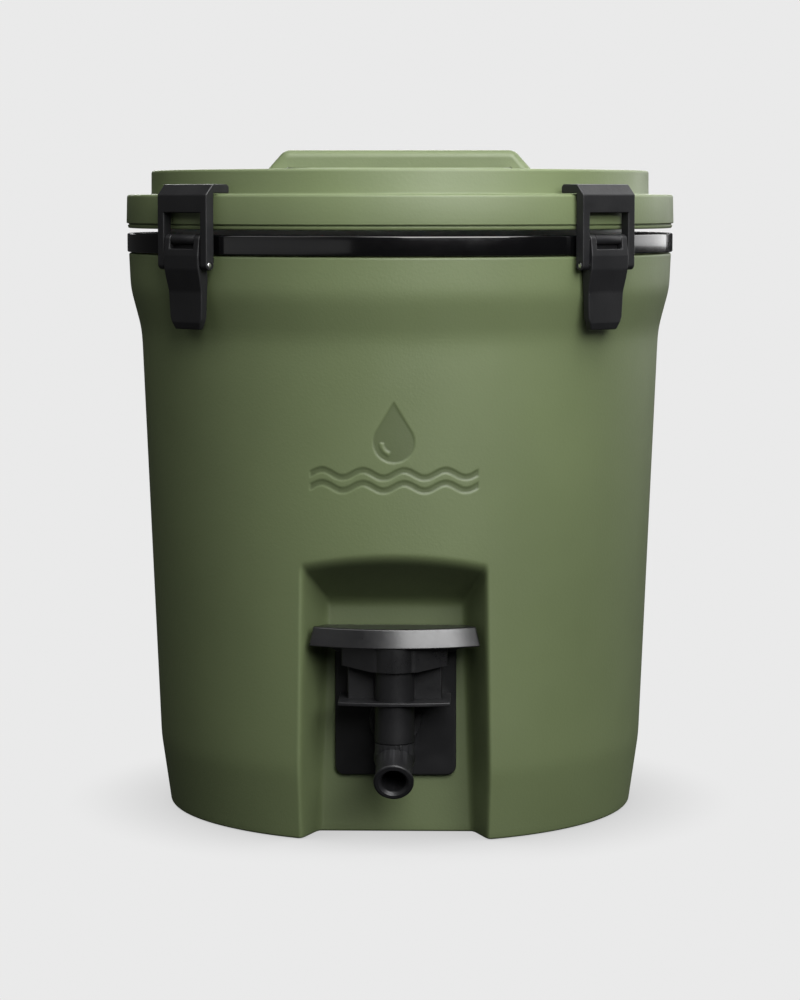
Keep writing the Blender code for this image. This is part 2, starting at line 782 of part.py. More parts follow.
def make_return_spring():
    """A coil of round wire, its points worked out along a helix."""
    low, high, radius, wire, turns, per_turn = 84.9, 100.6, 5.2, 0.55, 4, 10
    curve = bpy.data.curves.new("return_spring", "CURVE")
    curve.dimensions = "3D"
    curve.bevel_depth = wire * MM
    curve.bevel_resolution = 1
    curve.use_fill_caps = True
    spline = curve.splines.new("POLY")
    count = turns * per_turn
    spline.points.add(count)
    for i, point in enumerate(spline.points):
        angle = 2 * pi * i / per_turn
        z = low + (high - low) * i / count
        point.co = (radius * cos(angle) * MM, radius * sin(angle) * MM, z * MM, 1)
    curve.materials.append(MATERIALS["steel"])
    spring = bpy.data.objects.new("return_spring", curve)
    bpy.context.collection.objects.link(spring)
    spring.location.y = TUBE_Y * MM


def make_spout():
    """The elbow below the tube, which turns the flow forwards and down."""
    tilt = radians(SPOUT_ANGLE)
    ahead = Vector((0, -cos(tilt), -sin(tilt)))
    bend = Vector((0, TUBE_Y, ELBOW_Z))
    top = TUBE_LOW - GAP
    spout = rod("spout", bend, (0, TUBE_Y, top + 3), TUBE_R, "black_satin", 24)
    added = [
        ball("bend", bend, BEND_R, 24),
        rod("nozzle", bend, bend + ahead * SPOUT_LENGTH, SPOUT_R, steps=24),
    ]
    # the exact solver leaves open edges where the nozzle meets the round bend
    combine(spout, added, "UNION", "MANIFOLD")
    bores = [
        block("trim", (-20, TUBE_Y - 20, top), (20, TUBE_Y + 20, top + 20)),
        rod("throat", bend, (0, TUBE_Y, top + 5), 7.4),
        rod("seal_seat", (0, TUBE_Y, top - 1.35), (0, TUBE_Y, top + 5), 9.3),
        ball("turn", bend, 7.7),
        rod("bore", bend, bend + ahead * (SPOUT_LENGTH + 5), SPOUT_BORE_R),
    ]
    return combine(spout, bores, solver="MANIFOLD")


def make_tap_seals():
    """The ring at the spout joint, and the gasket and nut inside the tank."""
    low = TUBE_LOW - GAP - 1.05
    spout_seal = turned(
        "spout_seal", [(7.7, low), (9.0, low), (9.0, low + 1.05), (7.7, low + 1.05)], "rubber", 28
    )
    spout_seal.location.y = TUBE_Y * MM
    wall = TANK_FRONT_Y + TANK_WALL
    bore = SHANK_R + GAP
    gasket = rod(
        "inlet_gasket", (0, wall + GAP, SHANK_Z), (0, wall + GAP + 2, SHANK_Z), 14.5, "rubber", 28
    )
    combine(gasket, [shank_hole(bore)])
    hexagon = [(14.8 * cos(radians(60 * i)), SHANK_Z + 14.8 * sin(radians(60 * i))) for i in range(6)]
    start = wall + 2 * GAP + 2
    nut = extruded("retaining_nut", hexagon, start, start + 7.5, "XZ", "black_satin")
    combine(nut, [shank_hole(bore)])


make_outer_shell()
make_base_plug()
make_inner_tank()
make_foam_core()
make_collar_band()
make_lid_shell()
make_lid_liner()
make_lid_foam()
make_lid_gasket()
make_carry_handle()
make_handle_screw("handle_screw_left", -SCREW_X)
make_handle_screw("handle_screw_right", SCREW_X)
make_latches()
make_tap_plate()
make_tap_body()
make_paddle()
make_valve()
make_return_spring()
make_spout()
make_tap_seals()
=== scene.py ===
"""Looks of an insulated water jug: push tap, four draw latches and a carry handle on the lid.

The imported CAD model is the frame. Every piece below is a finer stand-in for a CAD node, in the
same place. Lengths are in millimetres until a mesh is made, and the tap faces -Y.
"""

import json
from math import atan2, cos, hypot, pi, radians, sin, tan

import bmesh
import bpy
import numpy as np
from mathutils import Matrix, Vector

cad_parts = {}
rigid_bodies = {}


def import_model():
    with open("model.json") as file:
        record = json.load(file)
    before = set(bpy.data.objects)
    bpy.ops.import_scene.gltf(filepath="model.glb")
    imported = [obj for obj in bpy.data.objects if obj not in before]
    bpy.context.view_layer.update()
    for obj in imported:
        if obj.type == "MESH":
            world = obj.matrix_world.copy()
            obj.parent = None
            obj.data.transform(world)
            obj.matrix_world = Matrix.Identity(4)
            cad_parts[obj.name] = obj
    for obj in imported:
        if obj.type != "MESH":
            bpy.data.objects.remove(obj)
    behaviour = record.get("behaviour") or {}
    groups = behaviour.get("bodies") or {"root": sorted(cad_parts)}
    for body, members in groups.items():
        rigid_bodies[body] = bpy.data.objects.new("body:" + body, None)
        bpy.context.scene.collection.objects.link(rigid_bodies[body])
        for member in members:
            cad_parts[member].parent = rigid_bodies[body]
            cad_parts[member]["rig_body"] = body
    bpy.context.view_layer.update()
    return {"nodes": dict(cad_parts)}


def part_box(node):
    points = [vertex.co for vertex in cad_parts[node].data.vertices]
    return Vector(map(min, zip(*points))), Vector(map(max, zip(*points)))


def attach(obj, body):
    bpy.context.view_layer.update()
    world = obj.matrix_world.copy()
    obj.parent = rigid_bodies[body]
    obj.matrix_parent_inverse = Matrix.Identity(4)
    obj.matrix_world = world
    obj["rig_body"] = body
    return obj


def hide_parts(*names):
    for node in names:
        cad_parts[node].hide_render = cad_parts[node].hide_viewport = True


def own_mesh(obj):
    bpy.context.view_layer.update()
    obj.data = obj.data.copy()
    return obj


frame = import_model()

MM = 0.001
MERGE = 2e-6
GAP = 0.3
ROUND_STEPS = 192
FILLET_STEPS = 5


def reach(node, axis, end=1):
    """One side of a CAD node's box, in millimetres: end 0 is the low side and 1 the high side."""
    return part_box(node)[end][axis] / MM


# shell
SHELL_TOP = reach("outer_shell", 2)
SHELL_WALL = 3.0
BASE_LIFT = 3.0
CAVITY_FLOOR = 6.0
PLUG_HOLE_R = 10.0
FOOT_RING = 87.0
RECESS_Y = -98.0
RECESS_HALF = 36.2
RECESS_FLARE = 0.035
RECESS_SPLAY = 0.387
RECESS_ROOF = 123.0
ROOF_SLOPE = 0.667
FRONT_HALF = 75.0

# tank
TANK_TOP = reach("inner_tank", 2)
TANK_WALL = 2.5
TANK_FLOOR = reach("inner_tank", 2, 0) + TANK_WALL
TANK_FLANGE_R = reach("inner_tank", 0)
TANK_MOUTH_R = 101.0
TANK_FRONT_Y = -88.0
TANK_FRONT_TOP = 155.0

# band and lid
BAND_R = reach("collar_band", 0)
BAND_LOW = reach("collar_band", 2, 0)
BAND_HIGH = reach("collar_band", 2)
BAND_SEAM = radians(-16)
LID_R = reach("lid_shell", 0)
LID_LOW = reach("lid_shell", 2, 0)
RIM_TOP = reach("lid_shell", 2)
LID_TOP = RIM_TOP - 1.5
LEDGE_Z = LID_LOW + 18.1
CROWN_R = 136.2
LID_WALL = 2.8
WELL_X = 59.0
WELL_Y = 46.0
WELL_FLOOR = 327.8
WELL_CORNER = 14.0
RIM_WIDE = 1.6
PLUG_LOW = reach("lid_liner", 2, 0)

# handle
HANDLE_HALF = reach("carry_handle", 0)
HANDLE_TOP = reach("carry_handle", 2)
HANDLE_LOW = reach("carry_handle", 2, 0)
HANDLE_DEPTH = reach("carry_handle", 1) * 2
HANDLE_UNDER = 349.65
HANDLE_FOOT_X = 60.9
SCREW_X = 66.5
SCREW_R = 2.0

# latches
LATCH_ANGLES = {"front_right": 45, "rear_right": 135, "rear_left": -135, "front_left": -45}
PIVOT_R = 152.85
PIVOT_Z = 311.7
BAIL_Z = 298.7
PIN_R = 1.5
PIN_HOLE_R = 1.62
KNUCKLE_R = 2.7
LEVER_HALF = 13.75
SLOT_HALF = 9.5
SLOT_LOW = 307.0
NOTCH_R = 1.8
NOTCH_RISE = 1.1
TONGUE_LOW = 296.3
TONGUE_FRONT_R = 152.5
HOOK_HALF = 19.6
HOOK_INNER_HALF = 14.6
HOOK_TOP = 340.0
HOOK_REACH_R = 139.8

# tap
TUBE_Y = -125.0
TUBE_R = 10.35
TUBE_LOW = 53.15
TAP_TOP = reach("tap_body", 2)
HOUSING_HALF = 24.4
HOUSING_FRONT_Y = -121.5
SHELF_HALF = reach("tap_body", 0)
SHELF_LOW = 73.2
SHELF_HIGH = 75.1
SHELF_FRONT_Y = -137.2
SHELF_BOW_R = 125.4
SHELF_SWEEP = 13.37
SHANK_Z = 62.0
SHANK_R = 9.0
SHANK_END_Y = reach("tap_body", 1)
PLATE_HALF = reach("tap_plate", 0)
PLATE_LOW = reach("tap_plate", 2, 0)
PLATE_HIGH = reach("tap_plate", 2)
PLATE_THICK = 3.0
STEM_R = 3.0
BAR_LOW = 103.0
BAR_HIGH = 113.0
BAR_BACK_HIGH = 111.2
BAR_BACK_Y = -103.4
BAR_BOW_R = 90.0
BAR_SWEEP = 29.6
BAR_LOW_Y = -137.6
BAR_HIGH_Y = -135.2
BAR_TOP_SHARE = 0.948
BAR_BACK_SHARE = 0.82
SKIRT_HALF = 27.4
SKIRT_BACK_Y = -103.6
SKIRT_FRONT_Y = -124.2
APRON_HALF = 10.0
APRON_FRONT_Y = -133.2
SKIRT_LOW = 93.0
NOSE_R = 12.1
NOSE_LOW = 90.2
ELBOW_Z = 45.0
BEND_R = 10.8
SPOUT_R = 10.4
SPOUT_BORE_R = 6.25
SPOUT_ANGLE = 23.0
SPOUT_LENGTH = 23.9


# ---------------------------------------------------------------- materials


class Nodes:
    """Short calls for building one material's node tree."""

    def __init__(self, name):
        self.material = bpy.data.materials.new(name)
        self.material.use_nodes = True
        self.tree = self.material.node_tree
        self.shader = self.tree.nodes["Principled BSDF"]
        coordinates = self.tree.nodes.new("ShaderNodeTexCoord")
        self.place = coordinates.outputs["Object"]

    def link(self, source, target):
        self.tree.links.new(source, target)

    def noise(self, scale, detail=2.0, stretch=(1.0, 1.0, 1.0)):
        mapping = self.tree.nodes.new("ShaderNodeMapping")
        mapping.inputs["Scale"].default_value = stretch
        self.link(self.place, mapping.inputs["Vector"])
        texture = self.tree.nodes.new("ShaderNodeTexNoise")
        texture.inputs["Scale"].default_value = scale
        texture.inputs["Detail"].default_value = detail
        self.link(mapping.outputs["Vector"], texture.inputs["Vector"])
        return texture.outputs["Fac"]

    def cells(self, scale):
        texture = self.tree.nodes.new("ShaderNodeTexVoronoi")
        texture.inputs["Scale"].default_value = scale
        self.link(self.place, texture.inputs["Vector"])
        return texture.outputs["Distance"]

    def remap(self, source, low, high, to_low, to_high):
        node = self.tree.nodes.new("ShaderNodeMapRange")
        for socket, value in zip(node.inputs[1:5], (low, high, to_low, to_high)):
            socket.default_value = value
        self.link(source, node.inputs[0])
        return node.outputs[0]

    def maths(self, operation, a, b):
        node = self.tree.nodes.new("ShaderNodeMath")
        node.operation = operation
        for socket, value in zip(node.inputs, (a, b)):
            if isinstance(value, float):
                socket.default_value = value
            else:
                self.link(value, socket)
        return node.outputs[0]

    def blend(self, factor, a, b):
        """A colour between a and b; each is a colour or a socket."""
        node = self.tree.nodes.new("ShaderNodeMix")
        node.data_type = "RGBA"
        self.link(factor, node.inputs["Factor"])
        for socket, value in ((node.inputs[6], a), (node.inputs[7], b)):
            if isinstance(value, tuple):
                socket.default_value = (*value, 1.0)
            else:
                self.link(value, socket)
        return node.outputs[2]

    def edges(self, start=0.515, full=0.60):
        """How sharp and raised the surface is here, from 0 to 1."""
        geometry = self.tree.nodes.new("ShaderNodeNewGeometry")
        return self.remap(geometry.outputs["Pointiness"], start, full, 0.0, 1.0)

    def attribute(self, name):
        node = self.tree.nodes.new("ShaderNodeAttribute")
        node.attribute_name = name
        return node.outputs["Fac"]

    def bump(self, height, strength, distance):
        node = self.tree.nodes.new("ShaderNodeBump")
        node.inputs["Strength"].default_value = strength
        node.inputs["Distance"].default_value = distance * MM
        self.link(height, node.inputs["Height"])
        self.link(node.outputs["Normal"], self.shader.inputs["Normal"])


def scaled(colour, factor):
    return tuple(min(1.0, channel * factor) for channel in colour)


def moulded(name, colour, roughness, grain, depth, drift=0.07, spread=0.07, wear=1.35, mark=False):
    """Moulded plastic: fine stipple, slow tone drift, uneven gloss and rubbed edges."""
    nodes = Nodes(name)
    tone = nodes.remap(nodes.noise(11.0, 3.0), 0.3, 0.7, 0.0, 1.0)
    base = nodes.blend(tone, scaled(colour, 1 - drift), scaled(colour, 1 + drift))
    rubbed = nodes.maths("MULTIPLY", nodes.edges(), nodes.remap(nodes.noise(70.0), 0.4, 0.65, 0.15, 0.6))
    base = nodes.blend(rubbed, base, scaled(colour, wear))
    uneven = nodes.remap(nodes.noise(55.0, 4.0), 0.3, 0.7, roughness - spread, roughness + spread)
    fine = nodes.remap(nodes.noise(grain * 0.6), 0.3, 0.7, -spread / 2, spread / 2)
    gloss = nodes.maths("ADD", uneven, fine)
    if mark:
        pressed = nodes.attribute("mark")
        base = nodes.blend(nodes.maths("MULTIPLY", pressed, 0.5), base, scaled(colour, 0.45))
        gloss = nodes.maths("SUBTRACT", gloss, nodes.maths("MULTIPLY", pressed, 0.06))
    nodes.link(base, nodes.shader.inputs["Base Color"])
    nodes.link(gloss, nodes.shader.inputs["Roughness"])
    stipple = nodes.maths("ADD", nodes.noise(grain, 2.0), nodes.cells(grain * 0.55))
    nodes.bump(stipple, 0.5, depth)
    return nodes


def green_shell():
    nodes = moulded("green_shell", (0.104, 0.132, 0.060), 0.50, 1150.0, 0.055, spread=0.03, mark=True)
    nodes.shader.inputs["Specular IOR Level"].default_value = 0.5
    return nodes.material


def black_gloss():
    nodes = moulded("black_gloss", (0.0016, 0.0016, 0.0018), 0.15, 500.0, 0.006, spread=0.03, wear=2.0)
    nodes.shader.inputs["Coat Weight"].default_value = 0.3
    nodes.shader.inputs["Coat Roughness"].default_value = 0.06
    return nodes.material


def black_satin():
    nodes = moulded("black_satin", (0.0080, 0.0080, 0.0087), 0.42, 1500.0, 0.030, wear=3.0)
    nodes.shader.inputs["Specular IOR Level"].default_value = 0.35
    return nodes.material


def black_polished():
    """The press bar, rubbed smoother by thumbs, so that its gloss comes in patches."""
    nodes = moulded("black_polished", (0.0055, 0.0055, 0.0060), 0.31, 900.0, 0.012, spread=0.04)
    nodes.shader.inputs["Specular IOR Level"].default_value = 0.9
    return nodes.material


def liner_white():
    nodes = moulded("liner_white", (0.74, 0.75, 0.72), 0.36, 900.0, 0.015, drift=0.02, wear=1.05)
    nodes.shader.inputs["Subsurface Weight"].default_value = 0.08
    nodes.shader.inputs["Subsurface Scale"].default_value = 2 * MM
    return nodes.material


def rubber():
    nodes = moulded("rubber", (0.022, 0.022, 0.024), 0.72, 1400.0, 0.035, wear=1.6)
    nodes.shader.inputs["Sheen Weight"].default_value = 0.15
    return nodes.material


def foam():
    """Rigid insulating foam: open cells and a yellow that deepens in patches."""
    nodes = Nodes("foam")
    tone = nodes.remap(nodes.noise(35.0, 4.0), 0.3, 0.7, 0.0, 1.0)
    base = nodes.blend(tone, (0.60, 0.47, 0.22), (0.74, 0.64, 0.38))
    nodes.link(base, nodes.shader.inputs["Base Color"])
    gloss = nodes.remap(nodes.noise(300.0), 0.3, 0.7, 0.82, 0.95)
    nodes.link(gloss, nodes.shader.inputs["Roughness"])
    nodes.bump(nodes.maths("ADD", nodes.cells(650.0), nodes.noise(1800.0)), 0.8, 0.5)
    return nodes.material


def steel():
    """Turned stainless steel: fine rings round the axis and faint smudges."""
    nodes = Nodes("steel")
    smudge = nodes.remap(nodes.noise(120.0, 4.0), 0.35, 0.7, 0.0, 1.0)
    base = nodes.blend(smudge, (0.60, 0.60, 0.61), (0.70, 0.69, 0.67))
    nodes.link(base, nodes.shader.inputs["Base Color"])
    rings = nodes.noise(2600.0, 2.0, (1.0, 0.08, 0.08))
    nodes.link(nodes.remap(rings, 0.3, 0.7, 0.20, 0.36), nodes.shader.inputs["Roughness"])
    nodes.shader.inputs["Metallic"].default_value = 1.0
    nodes.bump(rings, 0.4, 0.012)
    return nodes.material


MAKERS = (green_shell, black_gloss, black_satin, black_polished, liner_white, rubber, foam, steel)
MATERIALS = {maker.__name__: maker() for maker in MAKERS}


# ---------------------------------------------------------------- mesh tools


def mesh_object(name, verts, faces):
    """A closed mesh from points in millimetres, with its faces pointing out."""
    bm = bmesh.new()
    made = [bm.verts.new(point) for point in np.asarray(verts, float) * MM]
    for face in faces:
        bm.faces.new([made[i] for i in face])
    return finish_mesh(name, bm)


def finish_mesh(name, bm):
    bmesh.ops.remove_doubles(bm, verts=bm.verts, dist=MERGE)
    bmesh.ops.recalc_face_normals(bm, faces=bm.faces)
    mesh = bpy.data.meshes.new(name)
    bm.to_mesh(mesh)
    bm.free()
    obj = bpy.data.objects.new(name, mesh)
    bpy.context.collection.objects.link(obj)
    return smoothed(obj)


def smoothed(obj, angle=38):
    obj.data.shade_smooth()
    obj.data.set_sharp_from_angle(angle=radians(angle))
    return obj


def settle(obj):
    """Apply an object's modifiers to its mesh."""
    depsgraph = bpy.context.evaluated_depsgraph_get()
    mesh = bpy.data.meshes.new_from_object(obj.evaluated_get(depsgraph))
    obj.modifiers.clear()
    obj.data = mesh
    return smoothed(obj)


def combine(target, tools, operation="DIFFERENCE", solver="EXACT"):
    for tool in tools:
        modifier = target.modifiers.new(tool.name, "BOOLEAN")
        modifier.operation = operation
        modifier.solver = solver
        modifier.object = tool
    settle(target)
    for tool in tools:
        bpy.data.objects.remove(tool, do_unlink=True)
    return target


def bevelled(obj, width, segments=3, angle=30):
    """Round every edge that is sharper than angle."""
    bm = bmesh.new()
    bm.from_mesh(obj.data)
    flat = radians(1)
    bmesh.ops.dissolve_limit(bm, angle_limit=flat, verts=bm.verts, edges=bm.edges)
    bm.to_mesh(obj.data)
    bm.free()
    modifier = obj.modifiers.new("edges", "BEVEL")
    modifier.width = width * MM
    modifier.segments = segments
    modifier.limit_method = "ANGLE"
    modifier.angle_limit = radians(angle)
    modifier.harden_normals = False
    return settle(obj)


def rounded(corners, steps=FILLET_STEPS):
    """A closed outline whose corners (x, y, radius) are turned into arcs."""
    outline = []
    for i, (x, y, radius) in enumerate(corners):
        here = Vector((x, y))
        if radius <= 0:
            outline.append((x, y))
            continue
        back = (Vector(corners[i - 1][:2]) - here).normalized()
        ahead = (Vector(corners[(i + 1) % len(corners)][:2]) - here).normalized()
        half = back.angle(ahead) / 2
        start = here + back * (radius / tan(half))
        end = here + ahead * (radius / tan(half))
        centre = here + (back + ahead).normalized() * (radius / sin(half))
        a = atan2(start.y - centre.y, start.x - centre.x)
        turn = (atan2(end.y - centre.y, end.x - centre.x) - a + pi) % (2 * pi) - pi
        for step in range(steps + 1):
            angle = a + turn * step / steps
            outline.append((centre.x + radius * cos(angle), centre.y + radius * sin(angle)))
    return outline


def arc(cx, cy, radius, start, end, steps):
    """Points on an arc, with angles in degrees."""
    angles = [radians(start + (end - start) * i / steps) for i in range(steps + 1)]
    return [(cx + radius * cos(a), cy + radius * sin(a)) for a in angles]


def both_sides(left):
    """A closed outline from its left half: those points, then their mirror images back again."""
    return left + [(-x, *rest) for x, *rest in reversed(left)]


def turned(name, outline, steps=ROUND_STEPS, start=0.0, sweep=2 * pi):
    """Spin a closed outline of (radius, height) about Z, all the way round or over a sweep."""
    whole = sweep > 2 * pi - 1e-9
    count = steps if whole else steps + 1
    angles = start + sweep * np.arange(count) / steps
    verts = [(r * cos(a), r * sin(a), z) for a in angles for r, z in outline]
    size = len(outline)
    faces = []
    for k in range(count if whole else steps):
        near, far = k * size, (k + 1) % count * size
        for i in range(size):
            j = (i + 1) % size
            if outline[i][0] == 0 and outline[j][0] == 0:
                continue
            faces.append((near + i, near + j, far + j, far + i))
    if not whole:
        faces.append(tuple(range(size)))
        faces.append(tuple((count - 1) * size + i for i in range(size)))
    return mesh_object(name, verts, faces)


def extruded(name, outline, low, high, across="XY"):
    """Extrude an outline drawn in one plane along that plane's normal."""
    place = {
        "XY": lambda a, b, c: (a, b, c),
        "XZ": lambda a, b, c: (a, c, b),
        "YZ": lambda a, b, c: (c, a, b),
    }[across]
    verts = [place(a, b, level) for level in (low, high) for a, b in outline]
    size = len(outline)
    faces = [tuple(range(size)), tuple(range(size, 2 * size))]
    for i in range(size):
        j = (i + 1) % size
        faces.append((i, j, size + j, size + i))
    return mesh_object(name, verts, faces)


def block(name, low, high, edge=0.0):
    """A box between two corners, with its edges rounded by edge."""
    outline = [(low[0], low[1]), (high[0], low[1]), (high[0], high[1]), (low[0], high[1])]
    obj = extruded(name, outline, low[2], high[2])
    return bevelled(obj, edge) if edge else obj


def turned_along(name, outline, start, towards, steps=96):
    """Spin an outline of (radius, distance) about the line from start towards a direction."""
    obj = turned(name, outline, steps)
    turn = Vector(towards).to_track_quat("Z", "Y").to_matrix().to_4x4()
    obj.data.transform(Matrix.Translation(Vector(start) * MM) @ turn)
    return obj


def rod(name, start, end, radius, edge=0.0, steps=64):
    """A round bar between two points, its ends rounded by edge."""
    along = Vector(end) - Vector(start)
    corners = [(0, 0, 0), (radius, 0, edge), (radius, along.length, edge), (0, along.length, 0)]
    return turned_along(name, rounded(corners), start, along, steps)


def ball(name, centre, radius, steps=72):
    side = arc(0, 0, radius, -90, 90, steps // 2)[1:-1]
    outline = [(0, -radius)] + side + [(0, radius)]
    return turned_along(name, outline, centre, (0, 0, 1), steps)


def lofted(name, rings, closed=False):
    """Skin over rings that have the same number of points; the ends are capped unless closed."""
    rings = np.asarray(rings, float)
    count, size = rings.shape[:2]
    faces = []
    for k in range(count if closed else count - 1):
        near, far = k * size, (k + 1) % count * size
        for i in range(size):
            j = (i + 1) % size
            faces.append((near + i, near + j, far + j, far + i))
    if not closed:
        faces.append(tuple(range(size)))
        faces.append(tuple((count - 1) * size + i for i in range(size)))
    return mesh_object(name, rings.reshape(-1, 3), faces)


def show(obj, finish, node):
    """Dress a piece, let it stand for its CAD node and ride on that node's body."""
    obj.name = "fine_" + node
    obj.data.name = obj.name
    obj.data.materials.clear()
    obj.data.materials.append(MATERIALS[finish])
    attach(obj, frame["nodes"][node]["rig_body"])
    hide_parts(node)
    return obj


def weighted(obj):
    """Let large faces set the shading, so that flat and round parts meet cleanly."""
    modifier = obj.modifiers.new("normals", "WEIGHTED_NORMAL")
    modifier.keep_sharp = True
    depsgraph = bpy.context.evaluated_depsgraph_get()
    mesh = bpy.data.meshes.new_from_object(obj.evaluated_get(depsgraph))
    obj.modifiers.clear()
    obj.data = mesh
    return obj


def cleaned(node):
    """A copy of a CAD node with joined, smoothly shaded faces."""
    obj = bpy.data.objects.new(node, frame["nodes"][node].data.copy())
    bpy.context.collection.objects.link(obj)
    bm = bmesh.new()
    bm.from_mesh(obj.data)
    bmesh.ops.remove_doubles(bm, verts=bm.verts, dist=MERGE)
    bmesh.ops.dissolve_limit(bm, angle_limit=radians(0.5), verts=bm.verts, edges=bm.edges)
    bm.to_mesh(obj.data)
    bm.free()
    return smoothed(obj)


# ---------------------------------------------------------------- shell


def smooth_max(a, b, width):
    share = np.clip(0.5 + 0.5 * (a - b) / width, 0, 1)
    return b * (1 - share) + a * share + width * share * (1 - share)


def smooth_min(a, b, width):
    return -smooth_max(-a, -b, width)


SIDE = [
    (127.8, 0.0),
    (133.0, 37.0),
    (141.8, 256.0),
    (142.4, 262.5),
    (143.6, 267.5),
    (146.6, 279.0),
    (147.6, 283.0),
    (148.0, 286.5),
    (148.7, 303.5),
]
SIDE_BLEND = 4.0
EDGE_R = 1.4
OPENING_BLEND = 5.0
CORNER_BLEND = 5.5


def side_radius(z):
    """Radius of the shell's side, its profile's corners blended over a few millimetres."""
    radii, heights = zip(*SIDE)
    shifts = np.linspace(-SIDE_BLEND, SIDE_BLEND, 9)
    inside = [np.interp(z + shift, heights, radii) for shift in shifts]
    near_end = np.minimum(z, SHELL_TOP - z) < SIDE_BLEND
    return np.where(near_end, np.interp(z, heights, radii), np.mean(inside, axis=0))


def edge_inset(z, low, high):
    """How far a rounded edge draws the surface in, near the heights low and high."""
    short = np.maximum(low + EDGE_R - z, z - (high - EDGE_R))
    short = np.clip(short, 0, EDGE_R)
    return EDGE_R - np.sqrt(EDGE_R**2 - short**2)


def emblem(x, z):
    """Depth share, 0 to 1, of a pressed mark: a water drop over two wavy lines."""
    centre_z, radius, tip_z = 209.5, 10.6, 230.0
    lean = np.arcsin(radius / (tip_z - centre_z))
    round_part = radius - np.hypot(x, z - centre_z)
    cone_part = (tip_z - z) * sin(lean) - np.abs(x) * cos(lean)
    above = z > centre_z + radius * sin(lean)
    drop = np.where(above, cone_part, round_part)
    glint_angle = np.arctan2(z - centre_z, x)
    on_arc = 1.0 - np.abs(np.hypot(x, z - centre_z) - 6.4)
    glint_end = (0.62 - np.abs(glint_angle + 2.55)) * 6.4
    drop = np.minimum(drop, -np.minimum(on_arc, glint_end))
    signed = drop
    rise, length = 1.9, 21.0
    phase = 2 * pi * x / length
    slope = rise * 2 * pi / length * np.cos(phase)
    for wave_z in (193.2, 186.6):
        line_z = wave_z + rise * np.sin(phase)
        wave = 1.45 - np.abs(z - line_z) / np.sqrt(1 + slope**2)
        wave = np.minimum(wave, 43.0 - np.abs(x))
        signed = np.maximum(signed, wave)
    share = np.clip(signed / 0.7 + 0.5, 0, 1)
    return share * share * (3 - 2 * share)


MARK_DEPTH = 0.4


def front_columns():
    """Distances across the front, close together where the recess and the mark are."""
    near = np.arange(-54.0, 54.01, 0.6)
    outer = np.arange(56.0, FRONT_HALF + 0.1, 2.0)
    return np.concatenate([-outer[::-1], near, outer])


def shell_ring(z, inset, low, high, marked):
    """One closed loop of the shell's surface at a height."""
    across = front_columns()
    radius = side_radius(z) - inset - edge_inset(z, low, high)
    share = emblem(across, z) if marked else np.zeros_like(across)
    wall = -np.sqrt((radius - MARK_DEPTH * share) ** 2 - across**2)
    drawn = inset + edge_inset(z, low, high)
    back = np.full_like(across, RECESS_Y + drawn)
    reach_side = drawn * hypot(1, RECESS_SPLAY)
    half = RECESS_HALF + RECESS_FLARE * (RECESS_ROOF - z)
    side = RECESS_Y - (np.abs(across) - half - reach_side) / RECESS_SPLAY
    roof = RECESS_Y - (z - RECESS_ROOF - inset * hypot(1, ROOF_SLOPE)) / ROOF_SLOPE
    recess = smooth_min(back, side, CORNER_BLEND)
    recess = smooth_min(recess, np.full_like(across, roof), CORNER_BLEND)
    y = smooth_max(wall, recess, OPENING_BLEND)
    start = atan2(-np.sqrt(radius**2 - FRONT_HALF**2), FRONT_HALF)
    around = 150
    turn = 2 * pi - 2 * (start + pi / 2)
    angles = start + turn * np.arange(1, around) / around
    xs = np.concatenate([across, radius * np.cos(angles)])
    ys = np.concatenate([y, radius * np.sin(angles)])
    return np.column_stack([xs, ys, np.full_like(xs, z)])


def spaced(*stops):
    """Heights from (start, step) pairs; the last pair's start is where they end."""
    heights = []
    for (start, step), (end, _) in zip(stops, stops[1:]):
        heights.extend(np.arange(start, end - step / 2, step))
    return heights + [stops[-1][0]]


def ring_at(ring, radius, z):
    """A circle whose points lie in the same directions as those of ring."""
    directions = ring[:, :2] / np.hypot(ring[:, 0], ring[:, 1])[:, None]
    return np.column_stack([directions * radius, np.full(len(ring), z)])


def make_outer_shell():
    outside = spaced(
        (0.0, 0.28), (1.4, 3.0), (112.0, 0.9), (154.0, 3.0), (182.0, 0.6), (232.0, 2.4),
        (256.0, 1.5), (301.9, 0.4), (SHELL_TOP, 1.0),
    )
    inside = spaced((CAVITY_FLOOR, 5.0), (115.0, 2.5), (155.0, 12.0), (256.0, 4.0), (SHELL_TOP, 1.0))
    rings = [shell_ring(z, 0.0, 0.0, SHELL_TOP, True) for z in outside]
    high = SHELL_TOP + EDGE_R
    rings += [shell_ring(z, SHELL_WALL, -EDGE_R, high, False) for z in reversed(inside)]
    foot = rings[0]
    under = [(PLUG_HOLE_R, CAVITY_FLOOR), (PLUG_HOLE_R, BASE_LIFT)]
    under += [(FOOT_RING - 3.6, BASE_LIFT), (FOOT_RING - 2.4, 2.6), (FOOT_RING - 0.6, 0.4)]
    under += [(FOOT_RING + 0.6, 0.0)]
    rings += [ring_at(foot, radius, z) for radius, z in under]
    shell = lofted("shell", rings, closed=True)
    points = np.array([v.co for v in shell.data.vertices]) / MM
    near = np.abs(points[:, 0]) < FRONT_HALF
    share = np.where(near & (points[:, 1] < RECESS_Y), emblem(points[:, 0], points[:, 2]), 0.0)
    mark = shell.data.attributes.new("mark", "FLOAT", "POINT")
    mark.data.foreach_set("value", share.astype(np.float32))
    smoothed(shell, 60)
    return show(shell, "green_shell", "outer_shell")


